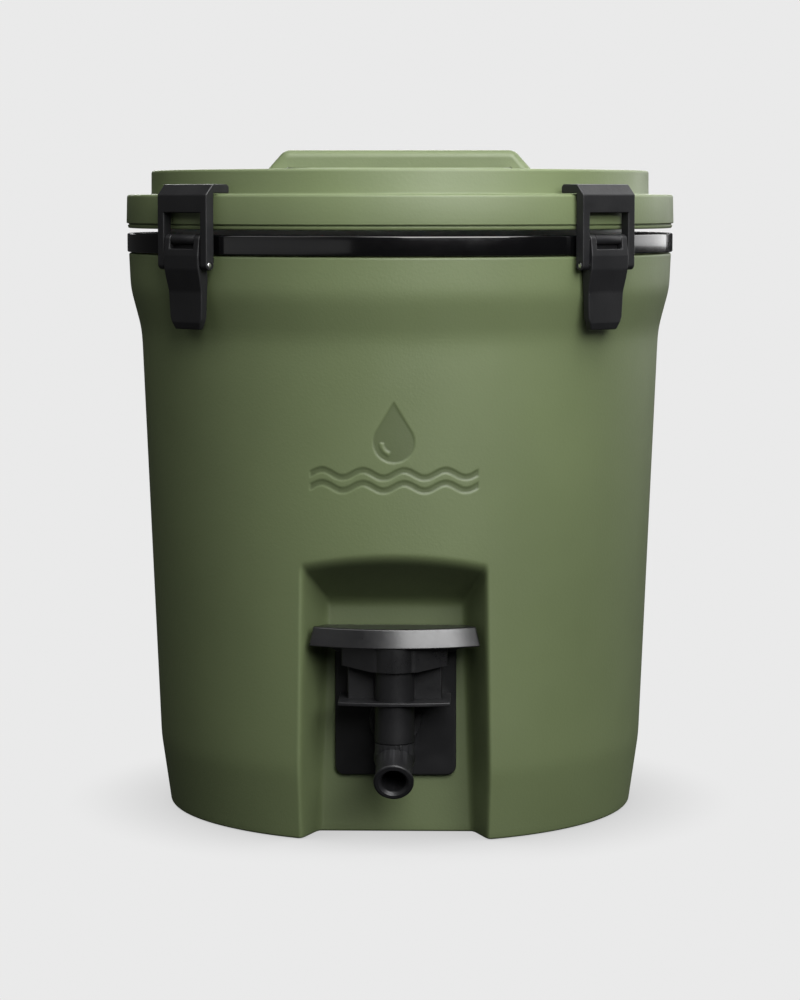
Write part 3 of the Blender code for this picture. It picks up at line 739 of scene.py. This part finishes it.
def make_base_plug():
    """A bayonet plug over the foam filling hole, with a coin slot."""
    corners = [(0, 1.6, 0), (13.0, 1.6, 0.6), (13.0, BASE_LIFT - GAP, 0.3)]
    corners += [(9.6, BASE_LIFT - GAP, 0), (9.2, CAVITY_FLOOR, 0.6), (0, CAVITY_FLOOR, 0)]
    plug = turned("plug", rounded(corners), 96)
    combine(plug, [block("coin_slot", (-7.5, -0.9, 1.0), (7.5, 0.9, 2.6))])
    show(plug, "black_satin", "base_plug")


# ---------------------------------------------------------------- tank


def tank_outline(grow, floor, rim):
    """Corners of the tank's side, from the middle of its floor to its rim."""
    return [
        (0, floor - grow, 0),
        (95.6 + grow, floor - grow, 9.0),
        (TANK_MOUTH_R + grow, rim, 0),
    ]


def tank_front(grow, name):
    y = TANK_FRONT_Y + grow
    top = TANK_FRONT_TOP + grow
    outline = [(y, 20), (y, top), (y - 40, top + 40 * ROOF_SLOPE), (y - 40, 20)]
    return extruded(name, outline, -130, 130, "YZ")


def shank_hole(radius):
    return rod("shank_hole", (0, -112, SHANK_Z), (0, -60, SHANK_Z), radius)


def make_inner_tank():
    flange = [(TANK_MOUTH_R + TANK_WALL, SHELL_TOP, 1.5), (TANK_FLANGE_R, SHELL_TOP, 0.4)]
    flange += [(TANK_FLANGE_R, TANK_TOP, 0.8), (0, TANK_TOP, 0)]
    outside = rounded(tank_outline(TANK_WALL, TANK_FLOOR, SHELL_TOP)[:2] + flange)
    tank = turned("tank", outside)
    inside = tank_outline(0, TANK_FLOOR, TANK_TOP + 5) + [(0, TANK_TOP + 5, 0)]
    room = turned("room", rounded(inside))
    combine(room, [tank_front(TANK_WALL, "room_front")])
    lead = turned("lead", [(0, TANK_TOP - 1.6), (TANK_MOUTH_R, TANK_TOP - 1.6),
                           (TANK_MOUTH_R + 1.8, TANK_TOP + 0.2), (0, TANK_TOP + 0.2)])
    combine(tank, [tank_front(0, "front"), room, lead, shank_hole(SHANK_R + GAP)])
    show(tank, "liner_white", "inner_tank")


def make_collar_band():
    """Glossy band, split by a fine seam on the right-hand side."""
    inner = TANK_FLANGE_R + 0.6
    corners = [
        (inner, BAND_LOW, 0.3),
        (BAND_R, BAND_LOW, 0.7),
        (BAND_R, BAND_HIGH, 0.9),
        (inner, BAND_HIGH, 0.3),
    ]
    seam = 0.35 / BAND_R
    outline = rounded(corners, 6)
    band = turned("band", outline, 320, BAND_SEAM + seam / 2, 2 * pi - seam)
    show(band, "black_gloss", "collar_band")


# ---------------------------------------------------------------- lid

LID_POINTS = 256
LID_TURNS = 2 * pi * np.arange(LID_POINTS) / LID_POINTS


def circle_ring(radius, z):
    return np.column_stack(
        [radius * np.cos(LID_TURNS), radius * np.sin(LID_TURNS), np.full(LID_POINTS, z)]
    )


def box_ring(half_x, half_y, corner, z):
    """A rounded rectangle, its points in the same directions as those of a circle ring."""
    c, s = np.abs(np.cos(LID_TURNS)), np.abs(np.sin(LID_TURNS))
    along_x = half_x / np.maximum(c, 1e-9)
    along_y = half_y / np.maximum(s, 1e-9)
    dx, dy = half_x - corner, half_y - corner
    middle = dx * c + dy * s
    corner_reach = middle + np.sqrt(np.maximum(middle**2 - dx**2 - dy**2 + corner**2, 0))
    reach_out = np.where(along_x * s <= dy, along_x, np.where(along_y * c <= dx, along_y, corner_reach))
    return np.column_stack(
        [reach_out * np.cos(LID_TURNS), reach_out * np.sin(LID_TURNS), np.full(LID_POINTS, z)]
    )


def well_ring(grow, z):
    return box_ring(WELL_X + grow, WELL_Y + grow, WELL_CORNER + grow, z)


def between(a, b, shares):
    return [a * (1 - share) + b * share for share in shares]


def make_lid_shell():
    """Stepped lid with a groove above its lower lip and a rimmed finger well on top."""
    side = rounded(
        [
            (146.3, LID_LOW, 0.3),
            (148.9, LID_LOW, 0.8),
            (149.25, LID_LOW + 1.55, 0.25),
            (148.55, LID_LOW + 1.9, 0.2),
            (148.6, LID_LOW + 2.35, 0.2),
            (LID_R, LID_LOW + 2.7, 0.5),
            (LID_R - 0.4, LEDGE_Z, 1.6),
            (CROWN_R, LEDGE_Z, 0.9),
            (CROWN_R - 0.1, LID_TOP, 1.5),
            (CROWN_R - 6.0, LID_TOP, 0),
        ],
        5,
    )
    rim_foot = well_ring(RIM_WIDE + 0.7, LID_TOP)
    outside = [circle_ring(r, z) for r, z in side]
    outside += between(circle_ring(CROWN_R - 6.0, LID_TOP), rim_foot, (0.25, 0.5, 0.75, 0.96))
    rim = [(RIM_WIDE + 0.7, LID_TOP), (RIM_WIDE + 0.2, LID_TOP + 0.3), (RIM_WIDE, LID_TOP + 0.8)]
    rim += [(RIM_WIDE - 0.15, RIM_TOP - 0.35), (RIM_WIDE - 0.55, RIM_TOP)]
    rim += [(0.55, RIM_TOP), (0.15, RIM_TOP - 0.35), (0.0, RIM_TOP - 0.9)]
    rim += [(0.0, WELL_FLOOR + 4.0), (-0.6, WELL_FLOOR + 2.0), (-2.0, WELL_FLOOR + 0.6)]
    rim += [(-4.0, WELL_FLOOR)]
    outside += [well_ring(grow, z) for grow, z in rim]
    outside += [well_ring(-4.0, WELL_FLOOR) * (share, share, 1) for share in (0.6, 0.2)]
    wall = LID_WALL
    under = WELL_FLOOR - wall
    inside = [well_ring(wall, under) * (share, share, 1) for share in (0.2, 0.6, 1.0)]
    inside_top = LID_TOP - wall
    inside += [well_ring(wall, inside_top)]
    inner_r = CROWN_R - wall
    inside += between(well_ring(wall, inside_top), circle_ring(inner_r, inside_top), (0.33, 0.66, 1.0))
    for r, z in ((inner_r, LEDGE_Z - wall), (145.6, LEDGE_Z - wall), (146.2, LEDGE_Z - wall - 0.6)):
        inside.append(circle_ring(r, z))
    lid = lofted("lid", inside + outside)
    holes = [rod("hole", (s * SCREW_X, 0, 341), (s * SCREW_X, 0, 352), SCREW_R + 0.4) for s in (-1, 1)]
    combine(lid, holes)
    show(lid, "green_shell", "lid_shell")


def make_lid_liner():
    """White inner lid: a dished plug that drops into the tank mouth."""
    step = TANK_TOP + 3.1
    corners = [
        (0, PLUG_LOW, 0),
        (96.9, PLUG_LOW, 3.0),
        (100.2, step, 1.0),
        (126.0, step, 1.0),
        (126.0, LID_LOW + 0.1, 0.8),
        (145.8, LID_LOW + 0.1, 0.4),
        (145.8, LID_LOW + 2.6, 0.4),
        (123.5, LID_LOW + 2.6, 1.0),
        (123.5, step + 2.5, 0.8),
        (97.6, step + 2.5, 0.8),
        (95.0, PLUG_LOW + 2.5, 1.5),
        (0, PLUG_LOW + 2.5, 0),
    ]
    show(turned("liner", rounded(corners)), "liner_white", "lid_liner")


def make_lid_gasket():
    """Lip seal with two soft beads."""
    low, high = TANK_TOP + GAP, TANK_TOP + 3.1 - GAP
    corners = [
        (110.0, low + 0.4, 0.3),
        (113.6, low, 0.5),
        (115.5, low + 0.7, 0.4),
        (117.4, low, 0.5),
        (121.0, low + 0.4, 0.3),
        (121.0, high, 0.4),
        (110.0, high, 0.4),
    ]
    show(turned("gasket", rounded(corners)), "rubber", "lid_gasket")


def make_carry_handle():
    """Fixed bridge handle: sloping ends, soft edges and a shallow finger arch underneath."""
    corners = [
        (-HANDLE_HALF, HANDLE_LOW, 0),
        (-HANDLE_FOOT_X, HANDLE_LOW, 0),
        (-HANDLE_FOOT_X, HANDLE_UNDER, 0.15),
        (HANDLE_FOOT_X, HANDLE_UNDER, 0.15),
        (HANDLE_FOOT_X, HANDLE_LOW, 0),
        (HANDLE_HALF, HANDLE_LOW, 0),
        (62.5, HANDLE_TOP, 7.0),
        (-62.5, HANDLE_TOP, 7.0),
    ]
    half = HANDLE_DEPTH / 2
    handle = extruded("handle", rounded(corners, 10), -half, half, "XZ")
    bm = bmesh.new()
    bm.from_mesh(handle.data)
    outer = [e for e in bm.edges if is_handle_edge(e, half)]
    bmesh.ops.bevel(bm, geom=outer, offset=4.2 * MM, segments=7, profile=0.5, affect="EDGES")
    bm.to_mesh(handle.data)
    bm.free()
    smoothed(handle, 50)
    holes = [rod("pilot", (s * SCREW_X, 0, 340), (s * SCREW_X, 0, 351.2), SCREW_R + GAP) for s in (-1, 1)]
    combine(handle, holes)
    smoothed(handle, 50)
    show(weighted(handle), "green_shell", "carry_handle")


def is_handle_edge(edge, half):
    """Whether an edge borders the front or back face, away from the feet and the arch."""
    ends = [v.co / MM for v in edge.verts]
    on_face = all(abs(abs(p.y) - half) < 0.01 for p in ends) and ends[0].y * ends[1].y > 0
    foot = all(p.z < HANDLE_LOW + 0.01 for p in ends)
    arch = all(abs(p.x) < 62.0 and p.z < HANDLE_UNDER + 0.01 for p in ends)
    return on_face and not foot and not arch


def make_handle_screw(side, node):
    """Pan-head screw with a cross recess, driven up into a handle foot."""
    under = LID_TOP - LID_WALL - GAP
    top = 350.9
    corners = [(0, under - 3.0, 0), (4.3, under - 3.0, 1.6), (4.3, under, 0.3)]
    corners += [(SCREW_R, under, 0)]
    pitch = 0.8
    z = under + 0.6
    while z + pitch < top - 0.6:
        corners += [(SCREW_R - 0.25, z, 0), (SCREW_R, z + pitch / 2, 0)]
        z += pitch
    corners += [(SCREW_R - 0.3, top - 0.5, 0), (0.6, top, 0), (0, top, 0)]
    screw = turned("screw", rounded(corners), 48)
    cross = [
        block("slot", (-2.2, -0.45, under - 4), (2.2, 0.45, under - 1.7)),
        block("slot", (-0.45, -2.2, under - 4), (0.45, 2.2, under - 1.7)),
    ]
    combine(screw, cross)
    screw.data.transform(Matrix.Translation((side * SCREW_X * MM, 0, 0)))
    show(screw, "steel", node)


# ---------------------------------------------------------------- latches


def local(outline, pivot_z):
    """Outline points (radius, height) as (y, z) about a latch pivot, radius towards -Y."""
    return [(PIVOT_R - r, z - pivot_z) for r, z in outline]


def cross_bore(name, z=0.0):
    return rod(name, (-30, 0, z), (30, 0, z), PIN_HOLE_R, steps=32)


def latch_bracket():
    """Barrel for the hinge pin, on a tongue that cradles the hook's pin from behind."""
    back = BAND_R + GAP
    profile = arc(PIVOT_R, PIVOT_Z, KNUCKLE_R, -90, 90, 20)
    profile += [(back, PIVOT_Z + KNUCKLE_R), (back, TONGUE_LOW)]
    profile += [(TONGUE_FRONT_R, TONGUE_LOW), (TONGUE_FRONT_R, PIVOT_Z - KNUCKLE_R)]
    half = SLOT_HALF - GAP
    bracket = extruded("bracket", local(profile, PIVOT_Z), -half, half, "YZ")
    bevelled(bracket, 0.3, 2, 40)
    return combine(bracket, [cross_bore("bore"), cross_bore("cradle", BAIL_Z - PIVOT_Z)])


def latch_lever():
    """Lever with two knuckles, a kinked face, chamfered lower corners and a ribbed hollow back."""
    back = [(149.3, 265.4), (149.3, 292.0), (150.15, 300.0)]
    knuckle = arc(PIVOT_R, PIVOT_Z, KNUCKLE_R, 180, 0, 20)
    front = rounded(
        [(155.55, 311.7, 0), (156.5, 303.5, 5.0), (156.2, 296.5, 12.0), (153.6, 285.0, 14.0),
         (153.2, 269.0, 3.0), (152.2, 265.4, 0)], 6
    )[1:]
    lever = extruded("lever", local(back + knuckle + front, PIVOT_Z), -LEVER_HALF, LEVER_HALF, "YZ")
    face = [(-14, 6), (14, 6), (14, -16), (13.2, -27), (12.6, -40), (9.6, -46.5)]
    face += [(-9.6, -46.5), (-12.6, -40), (-13.2, -27), (-14, -16)]
    combine(lever, [extruded("face", face, -10, 10, "XZ")], "INTERSECT")
    combine(lever, [block("slot", (-SLOT_HALF, -10, SLOT_LOW - PIVOT_Z), (SLOT_HALF, 10, 10))])
    bevelled(lever, 0.7, 3, 35)
    pin_z = BAIL_Z - PIVOT_Z
    room_low = TONGUE_LOW - GAP - PIVOT_Z
    tools = [
        cross_bore("bore"),
        block("notch", (-30, 0, pin_z - NOTCH_R), (30, 10, pin_z + NOTCH_R + NOTCH_RISE)),
        rod("notch_end", (-30, 0, pin_z), (30, 0, pin_z), NOTCH_R, steps=32),
        block("room", (-SLOT_HALF, -NOTCH_R, room_low), (SLOT_HALF, 10, SLOT_LOW - PIVOT_Z + 1)),
    ]
    for low, high in ((-43.5, -37.0), (-35.8, -28.0), (-26.8, -18.5)):
        half = 10.6 if low > -40 else 8.6
        tools.append(block("pocket", (-half, 1.4, low), (half, 8.0, high)))
    return weighted(combine(lever, tools))


def latch_hook():
    """Draw hook: a window frame with round pin bosses and a lip that lies on the lid's ledge."""
    inner = BAND_R + 0.7
    outer = 2 * PIVOT_R - inner
    outline = [
        (inner, LEDGE_Z + 0.5),
        (HOOK_REACH_R, LEDGE_Z + 0.5),
        (HOOK_REACH_R, HOOK_TOP - 1.2),
        (HOOK_REACH_R + 1.2, HOOK_TOP),
        (150.8, HOOK_TOP),
        (outer, HOOK_TOP - 5.4),
    ]
    outline += arc(PIVOT_R, BAIL_Z, PIVOT_R - inner, 0, -180, 20)
    hook = extruded("hook", local(outline, BAIL_Z), -HOOK_HALF, HOOK_HALF, "YZ")
    window = block("window", (-HOOK_INNER_HALF, -10, -10), (HOOK_INNER_HALF, 10, 325.4 - BAIL_Z))
    combine(hook, [window])
    bevelled(hook, 0.6, 3, 30)
    return weighted(combine(hook, [cross_bore("bore")]))


def latch_pin(half):
    return rod("pin", (-half, 0, 0), (half, 0, 0), PIN_R, 0.7, 40)


def make_latches():
    patterns = {
        "latch_bracket": (latch_bracket(), PIVOT_Z, "black_satin"),
        "hinge_pin": (latch_pin(LEVER_HALF - 0.4), PIVOT_Z, "steel"),
        "latch_lever": (latch_lever(), PIVOT_Z, "black_satin"),
        "bail_pin": (latch_pin(HOOK_HALF - 0.2), BAIL_Z, "steel"),
        "latch_hook": (latch_hook(), BAIL_Z, "black_satin"),
    }
    for place, angle in LATCH_ANGLES.items():
        turn = radians(angle)
        for kind, (pattern, pivot_z, finish) in patterns.items():
            piece = bpy.data.objects.new(kind, pattern.data.copy())
            bpy.context.collection.objects.link(piece)
            spot = Vector((sin(turn) * PIVOT_R, -cos(turn) * PIVOT_R, pivot_z)) * MM
            piece.data.transform(Matrix.Translation(spot) @ Matrix.Rotation(turn, 4, "Z"))
            show(piece, finish, f"{kind}_{place}")
    for pattern, _, _ in patterns.values():
        bpy.data.objects.remove(pattern, do_unlink=True)


# ---------------------------------------------------------------- tap


def make_tap_plate():
    corners = [(-PLATE_HALF, PLATE_LOW, 5.0), (PLATE_HALF, PLATE_LOW, 5.0)]
    corners += [(PLATE_HALF, PLATE_HIGH, 5.0), (-PLATE_HALF, PLATE_HIGH, 5.0)]
    back = RECESS_Y - GAP
    plate = extruded("plate", rounded(corners, 10), back - PLATE_THICK, back, "XZ")
    bevelled(plate, 0.7, 3)
    combine(plate, [shank_hole(SHANK_R + GAP)])
    show(plate, "black_satin", "tap_plate")


def make_tap_body():
    """Housing, shelf, tube and threaded shank in one moulding, bored for the valve."""
    back = RECESS_Y - PLATE_THICK - 2 * GAP
    low = (-HOUSING_HALF, HOUSING_FRONT_Y, SHELF_LOW + 1)
    body = block("tap", low, (HOUSING_HALF, back, TAP_TOP), 0.8)
    centre_y = SHELF_FRONT_Y + SHELF_BOW_R
    front = arc(0, centre_y, SHELF_BOW_R, -90 - SHELF_SWEEP, -90 + SHELF_SWEEP, 40)
    front += [(SHELF_HALF, back), (-SHELF_HALF, back)]
    shelf = bevelled(extruded("shelf", front, SHELF_LOW, SHELF_HIGH), 0.45, 3, 40)
    shank = [(0, 0), (SHANK_R, 0)]
    length = SHANK_END_Y - TUBE_Y
    turns = 11
    thread_start = length - 22.0
    for i in range(turns):
        y = thread_start + i * 20.0 / turns
        shank += [(SHANK_R, y), (SHANK_R - 0.8, y + 0.9)]
    shank += [(SHANK_R - 0.8, length - 0.8), (SHANK_R - 1.4, length), (0, length)]
    added = [
        shelf,
        rod("tube", (0, TUBE_Y, TUBE_LOW), (0, TUBE_Y, TAP_TOP - 0.02), TUBE_R, 0.4, 96),
        block("web", (-4.0, TUBE_Y, TUBE_LOW + 1), (4.0, back - 0.01, SHELF_LOW + 1), 0.5),
        rod("flange", (0, -112.0, SHANK_Z), (0, back - 0.02, SHANK_Z), 13.5, 0.5, 96),
        turned_along("shank", shank, (0, TUBE_Y, SHANK_Z), (0, 1, 0)),
    ]
    combine(body, added, "UNION")
    bores = [
        rod("inlet", (0, TUBE_Y, SHANK_Z), (0, SHANK_END_Y + 5, SHANK_Z), 5.5),
        rod("chamber", (0, TUBE_Y, TUBE_LOW + 2.5), (0, TUBE_Y, 78.0), 7.2),
        rod("seat", (0, TUBE_Y, 45.0), (0, TUBE_Y, 60.0), 5.0),
        rod("guide", (0, TUBE_Y, 70.0), (0, TUBE_Y, 90.0), STEM_R + 0.2),
        rod("spring_pocket", (0, TUBE_Y, 84.0), (0, TUBE_Y, 110.0), 7.3),
    ]
    combine(body, bores)
    show(weighted(body), "black_satin", "tap_body")


def make_paddle():
    """Press bar curved across the front, on a hollow skirt that slides over the housing."""
    rings = []
    for x, y in arc(0, BAR_BOW_R, BAR_BOW_R, -90 - BAR_SWEEP, -90 + BAR_SWEEP, 48):
        back_x = x * BAR_BACK_SHARE
        section = [(x, y + BAR_LOW_Y, BAR_LOW), (x * BAR_TOP_SHARE, y + BAR_HIGH_Y, BAR_HIGH)]
        section += [(back_x, BAR_BACK_Y, BAR_BACK_HIGH), (back_x, BAR_BACK_Y, BAR_LOW)]
        rings.append(section)
    paddle = lofted("paddle_bar", rings)
    bevelled(paddle, 0.8, 4, 30)
    side = SKIRT_HALF + 1
    front = both_sides([(-side, BAR_LOW + 0.5), (-side, SKIRT_LOW), (-12.0, NOSE_LOW + 0.3)])
    plan = both_sides([
        (-SKIRT_HALF, SKIRT_BACK_Y, 0.5),
        (-SKIRT_HALF, SKIRT_FRONT_Y, 0.8),
        (-APRON_HALF, APRON_FRONT_Y, 6.0),
    ])
    skirt = extruded("skirt", front, -140, -100, "XZ")
    combine(skirt, [extruded("skirt_plan", rounded(plan, 8), 80, 110)], "INTERSECT")
    wing = both_sides([(-41.0, 104.0), (-30.5, 97.6)])
    added = [
        skirt,
        rod("nose", (0, TUBE_Y, NOSE_LOW), (0, TUBE_Y, BAR_LOW + 0.6), NOSE_R, 0.5, 96),
        bevelled(extruded("wing", wing, -109.0, -103.7, "XZ"), 0.5),
    ]
    combine(paddle, added, "UNION")
    inside = BAR_LOW - 1.5
    room = both_sides([(-25.1, -90.0), (-25.1, -122.1), (-9.0, -130.9)])
    hollow = [
        extruded("hollow", room, 80, inside),
        rod("nose_hollow", (0, TUBE_Y, 80), (0, TUBE_Y, inside + 0.01), NOSE_R - 1.1, 0, 96),
    ]
    combine(paddle, hollow)
    show(weighted(paddle), "black_polished", "paddle")


def make_spout():
    """Elbow under the tube, with a rolled lip round its mouth."""
    tilt = radians(SPOUT_ANGLE)
    ahead = Vector((0, -cos(tilt), -sin(tilt)))
    bend = Vector((0, TUBE_Y, ELBOW_Z))
    top = TUBE_LOW - GAP
    spout = rod("spout", bend, (0, TUBE_Y, top + 3), TUBE_R, 0, 72)
    lip_start = SPOUT_LENGTH - 3.0
    nozzle = [
        (0, 0, 0),
        (SPOUT_R - 0.9, 0, 0),
        (SPOUT_R - 0.9, lip_start, 0.3),
        (SPOUT_R, lip_start + 0.9, 0.6),
        (SPOUT_R, SPOUT_LENGTH, 1.2),
        (0, SPOUT_LENGTH, 0),
    ]
    front = TUBE_Y - TUBE_R
    added = [ball("bend", bend, BEND_R), turned_along("nozzle", rounded(nozzle, 8), bend, ahead)]
    for x in (0.9, 3.4):
        added.append(block("lug", (x - 0.5, front - 0.4, top - 2.6), (x + 0.5, front + 1, top), 0.2))
    combine(spout, added, "UNION", "MANIFOLD")
    flare = [
        (0, 0, 0),
        (SPOUT_BORE_R, 0, 0),
        (SPOUT_BORE_R, SPOUT_LENGTH - 1.6, 1.5),
        (SPOUT_BORE_R + 1.9, SPOUT_LENGTH + 0.3, 0),
        (SPOUT_BORE_R + 1.9, SPOUT_LENGTH + 3, 0),
        (0, SPOUT_LENGTH + 3, 0),
    ]
    bores = [
        block("trim", (-20, TUBE_Y - 20, top), (20, TUBE_Y + 20, top + 20)),
        rod("throat", bend, (0, TUBE_Y, top + 5), 7.4),
        rod("seal_seat", (0, TUBE_Y, top - 1.35), (0, TUBE_Y, top + 5), 9.3),
        ball("turn", bend, 7.7),
        turned_along("bore", rounded(flare), bend, ahead),
    ]
    combine(spout, bores, solver="MANIFOLD")
    show(weighted(spout), "black_satin", "spout")


def make_valve():
    low = TUBE_LOW - 3.55
    stem = [(0, low - 1, 0), (STEM_R, low - 1, 0.6), (STEM_R, 101.2, 0.5), (0, 101.2, 0)]
    bore = STEM_R + 0.15
    seal = [(bore, low, 0), (6.4, low, 0.7), (6.4, low + 3.2, 0.7), (bore, low + 3.2, 0)]
    for corners, finish, node in ((stem, "steel", "valve_stem"), (seal, "rubber", "valve_seal")):
        piece = turned(node, rounded(corners), 64)
        piece.data.transform(Matrix.Translation((0, TUBE_Y * MM, 0)))
        show(piece, finish, node)


def make_return_spring():
    """Coil of round wire with closed ends."""
    low, high = 84.9, 100.6
    radius, wire = 5.2, 0.55
    turns, per_turn, sides = 4, 32, 12
    rings = []
    for i in range(turns * per_turn + 1):
        angle = 2 * pi * i / per_turn
        z = low + (high - low) * i / (turns * per_turn)
        out = Vector((cos(angle), sin(angle), 0))
        rings.append([
            Vector((0, TUBE_Y, z))
            + out * (radius + wire * cos(2 * pi * k / sides))
            + Vector((0, 0, wire * sin(2 * pi * k / sides)))
            for k in range(sides)
        ])
    spring = lofted("spring", rings)
    show(spring, "steel", "return_spring")
    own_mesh(spring)


def make_tap_seals():
    low = TUBE_LOW - GAP - 1.05
    corners = [(7.7, low, 0.3), (9.0, low, 0.3), (9.0, low + 1.05, 0.3), (7.7, low + 1.05, 0.3)]
    ring = turned("ring", rounded(corners), 72)
    ring.data.transform(Matrix.Translation((0, TUBE_Y * MM, 0)))
    show(ring, "rubber", "spout_seal")
    wall = TANK_FRONT_Y + TANK_WALL
    bore = SHANK_R + GAP
    gasket = [(bore, 0, 0.2), (14.5, 0, 0.6), (14.5, 2.0, 0.6), (bore, 2.0, 0.2)]
    start = (0, wall + GAP, SHANK_Z)
    show(turned_along("ring", rounded(gasket), start, (0, 1, 0)), "rubber", "inlet_gasket")
    near = wall + 2 * GAP + 2
    hexagon = [(14.8 * cos(pi / 3 * i), SHANK_Z + 14.8 * sin(pi / 3 * i)) for i in range(6)]
    nut = extruded("nut", hexagon, near, near + 7.5, "XZ")
    crown = [(0, 0), (14.0, 0), (14.9, 1.0), (14.9, 6.5), (13.6, 7.5), (0, 7.5)]
    combine(nut, [turned_along("crown", crown, (0, near, SHANK_Z), (0, 1, 0))], "INTERSECT")
    combine(nut, [shank_hole(bore)])
    show(nut, "black_satin", "retaining_nut")


def make_foam():
    for node in ("foam_core", "lid_foam"):
        show(cleaned(node), "foam", node)


# ---------------------------------------------------------------- stage

BACKGROUND = 0.822
AMBIENT = 0.025
AIM_HEIGHT = 170.0
CAMERA_DISTANCE = 1631.0
CAMERA_HEIGHT = 332.3
CAMERA_PITCH = 5.82
CAMERA_TURN = 1.3
SENSOR = 36.0
LENS = 106.2


def softbox(name, azimuth, elevation, distance, size, watts):
    """A panel facing the jug's middle, at an azimuth from its front (right is positive)."""
    light = bpy.data.lights.new(name, "AREA")
    light.shape = "RECTANGLE"
    light.size = size[0] * MM
    light.size_y = size[1] * MM
    light.energy = watts
    lamp = bpy.data.objects.new(name, light)
    bpy.context.scene.collection.objects.link(lamp)
    a, e = radians(azimuth), radians(elevation)
    away = Vector((sin(a) * cos(e), -cos(a) * cos(e), sin(e)))
    lamp.location = (away * distance + Vector((0, 0, AIM_HEIGHT))) * MM
    lamp.rotation_euler = away.to_track_quat("Z", "Y").to_euler()


def make_floor():
    """Pale even glowing floor, with a soft contact shadow painted into it from ambient occlusion round
    the jug.
    """
    material = bpy.data.materials.new("floor")
    material.use_nodes = True
    tree = material.node_tree
    tree.nodes.clear()
    # Painted shadow: ambient occlusion dims the floor's glow near the jug's foot.
    painted_shadow = tree.nodes.new("ShaderNodeAmbientOcclusion")
    painted_shadow.inputs["Distance"].default_value = 0.06
    painted_shadow.samples = 16
    lift = tree.nodes.new("ShaderNodeMapRange")
    lift.inputs["From Min"].default_value = 0.25
    lift.inputs["From Max"].default_value = 0.98
    lift.inputs["To Min"].default_value = BACKGROUND * 0.7
    lift.inputs["To Max"].default_value = BACKGROUND
    glow = tree.nodes.new("ShaderNodeEmission")
    out = tree.nodes.new("ShaderNodeOutputMaterial")
    tree.links.new(painted_shadow.outputs["AO"], lift.inputs["Value"])
    tree.links.new(lift.outputs["Result"], glow.inputs["Strength"])
    tree.links.new(glow.outputs["Emission"], out.inputs["Surface"])
    bm = bmesh.new()
    bmesh.ops.create_circle(bm, cap_ends=True, segments=96, radius=30.0)
    mesh = bpy.data.meshes.new("floor")
    bm.to_mesh(mesh)
    bm.free()
    mesh.materials.append(material)
    floor = bpy.data.objects.new("floor", mesh)
    bpy.context.collection.objects.link(floor)
    floor.location.z = -0.2 * MM
    floor.visible_diffuse = False
    floor.visible_glossy = False


def make_world():
    """Even pale backdrop for the lens, and a dim studio room for everything else."""
    world = bpy.data.worlds.new("studio")
    bpy.context.scene.world = world
    world.use_nodes = True
    tree = world.node_tree
    tree.nodes.clear()
    path = tree.nodes.new("ShaderNodeLightPath")
    level = tree.nodes.new("ShaderNodeMapRange")
    level.inputs["To Min"].default_value = AMBIENT
    level.inputs["To Max"].default_value = BACKGROUND
    back = tree.nodes.new("ShaderNodeBackground")
    back.inputs["Color"].default_value = (1.0, 1.0, 1.0, 1.0)
    out = tree.nodes.new("ShaderNodeOutputWorld")
    tree.links.new(path.outputs["Is Camera Ray"], level.inputs["Value"])
    tree.links.new(level.outputs["Result"], back.inputs["Strength"])
    tree.links.new(back.outputs["Background"], out.inputs["Surface"])


def make_camera():
    data = bpy.data.cameras.new("camera")
    data.sensor_fit = "VERTICAL"
    data.sensor_height = SENSOR
    data.lens = LENS
    data.clip_end = 100.0
    camera = bpy.data.objects.new("camera", data)
    bpy.context.scene.collection.objects.link(camera)
    turn = radians(CAMERA_TURN)
    flat = Vector((sin(turn), -cos(turn), 0)) * CAMERA_DISTANCE
    camera.location = (flat + Vector((0, 0, CAMERA_HEIGHT))) * MM
    camera.rotation_euler = (radians(90 - CAMERA_PITCH), 0, turn)
    bpy.context.scene.camera = camera


def make_lights():
    softbox("key", 24, 29, 1700, (1300, 950), 36)
    softbox("top_front", 24, 57, 640, (520, 260), 3.0)
    softbox("fill", -66, 46, 2300, (1700, 1500), 12)
    softbox("low_fill", -54, 2, 2500, (3600, 600), 2.3)
    softbox("rim", 128, 25, 1900, (1500, 1600), 19)
    softbox("overhead", 0, 84, 1500, (1200, 700), 7)
    softbox("back", 182, 28, 2300, (1500, 1300), 34)


make_outer_shell()
make_base_plug()
make_inner_tank()
make_foam()
make_collar_band()
make_lid_shell()
make_lid_liner()
make_lid_gasket()
make_carry_handle()
make_handle_screw(-1, "handle_screw_left")
make_handle_screw(1, "handle_screw_right")
make_latches()
make_tap_plate()
make_tap_body()
make_paddle()
make_valve()
make_return_spring()
make_spout()
make_tap_seals()

make_floor()
make_world()
make_camera()
make_lights()
bpy.context.scene.view_settings.view_transform = "Standard"
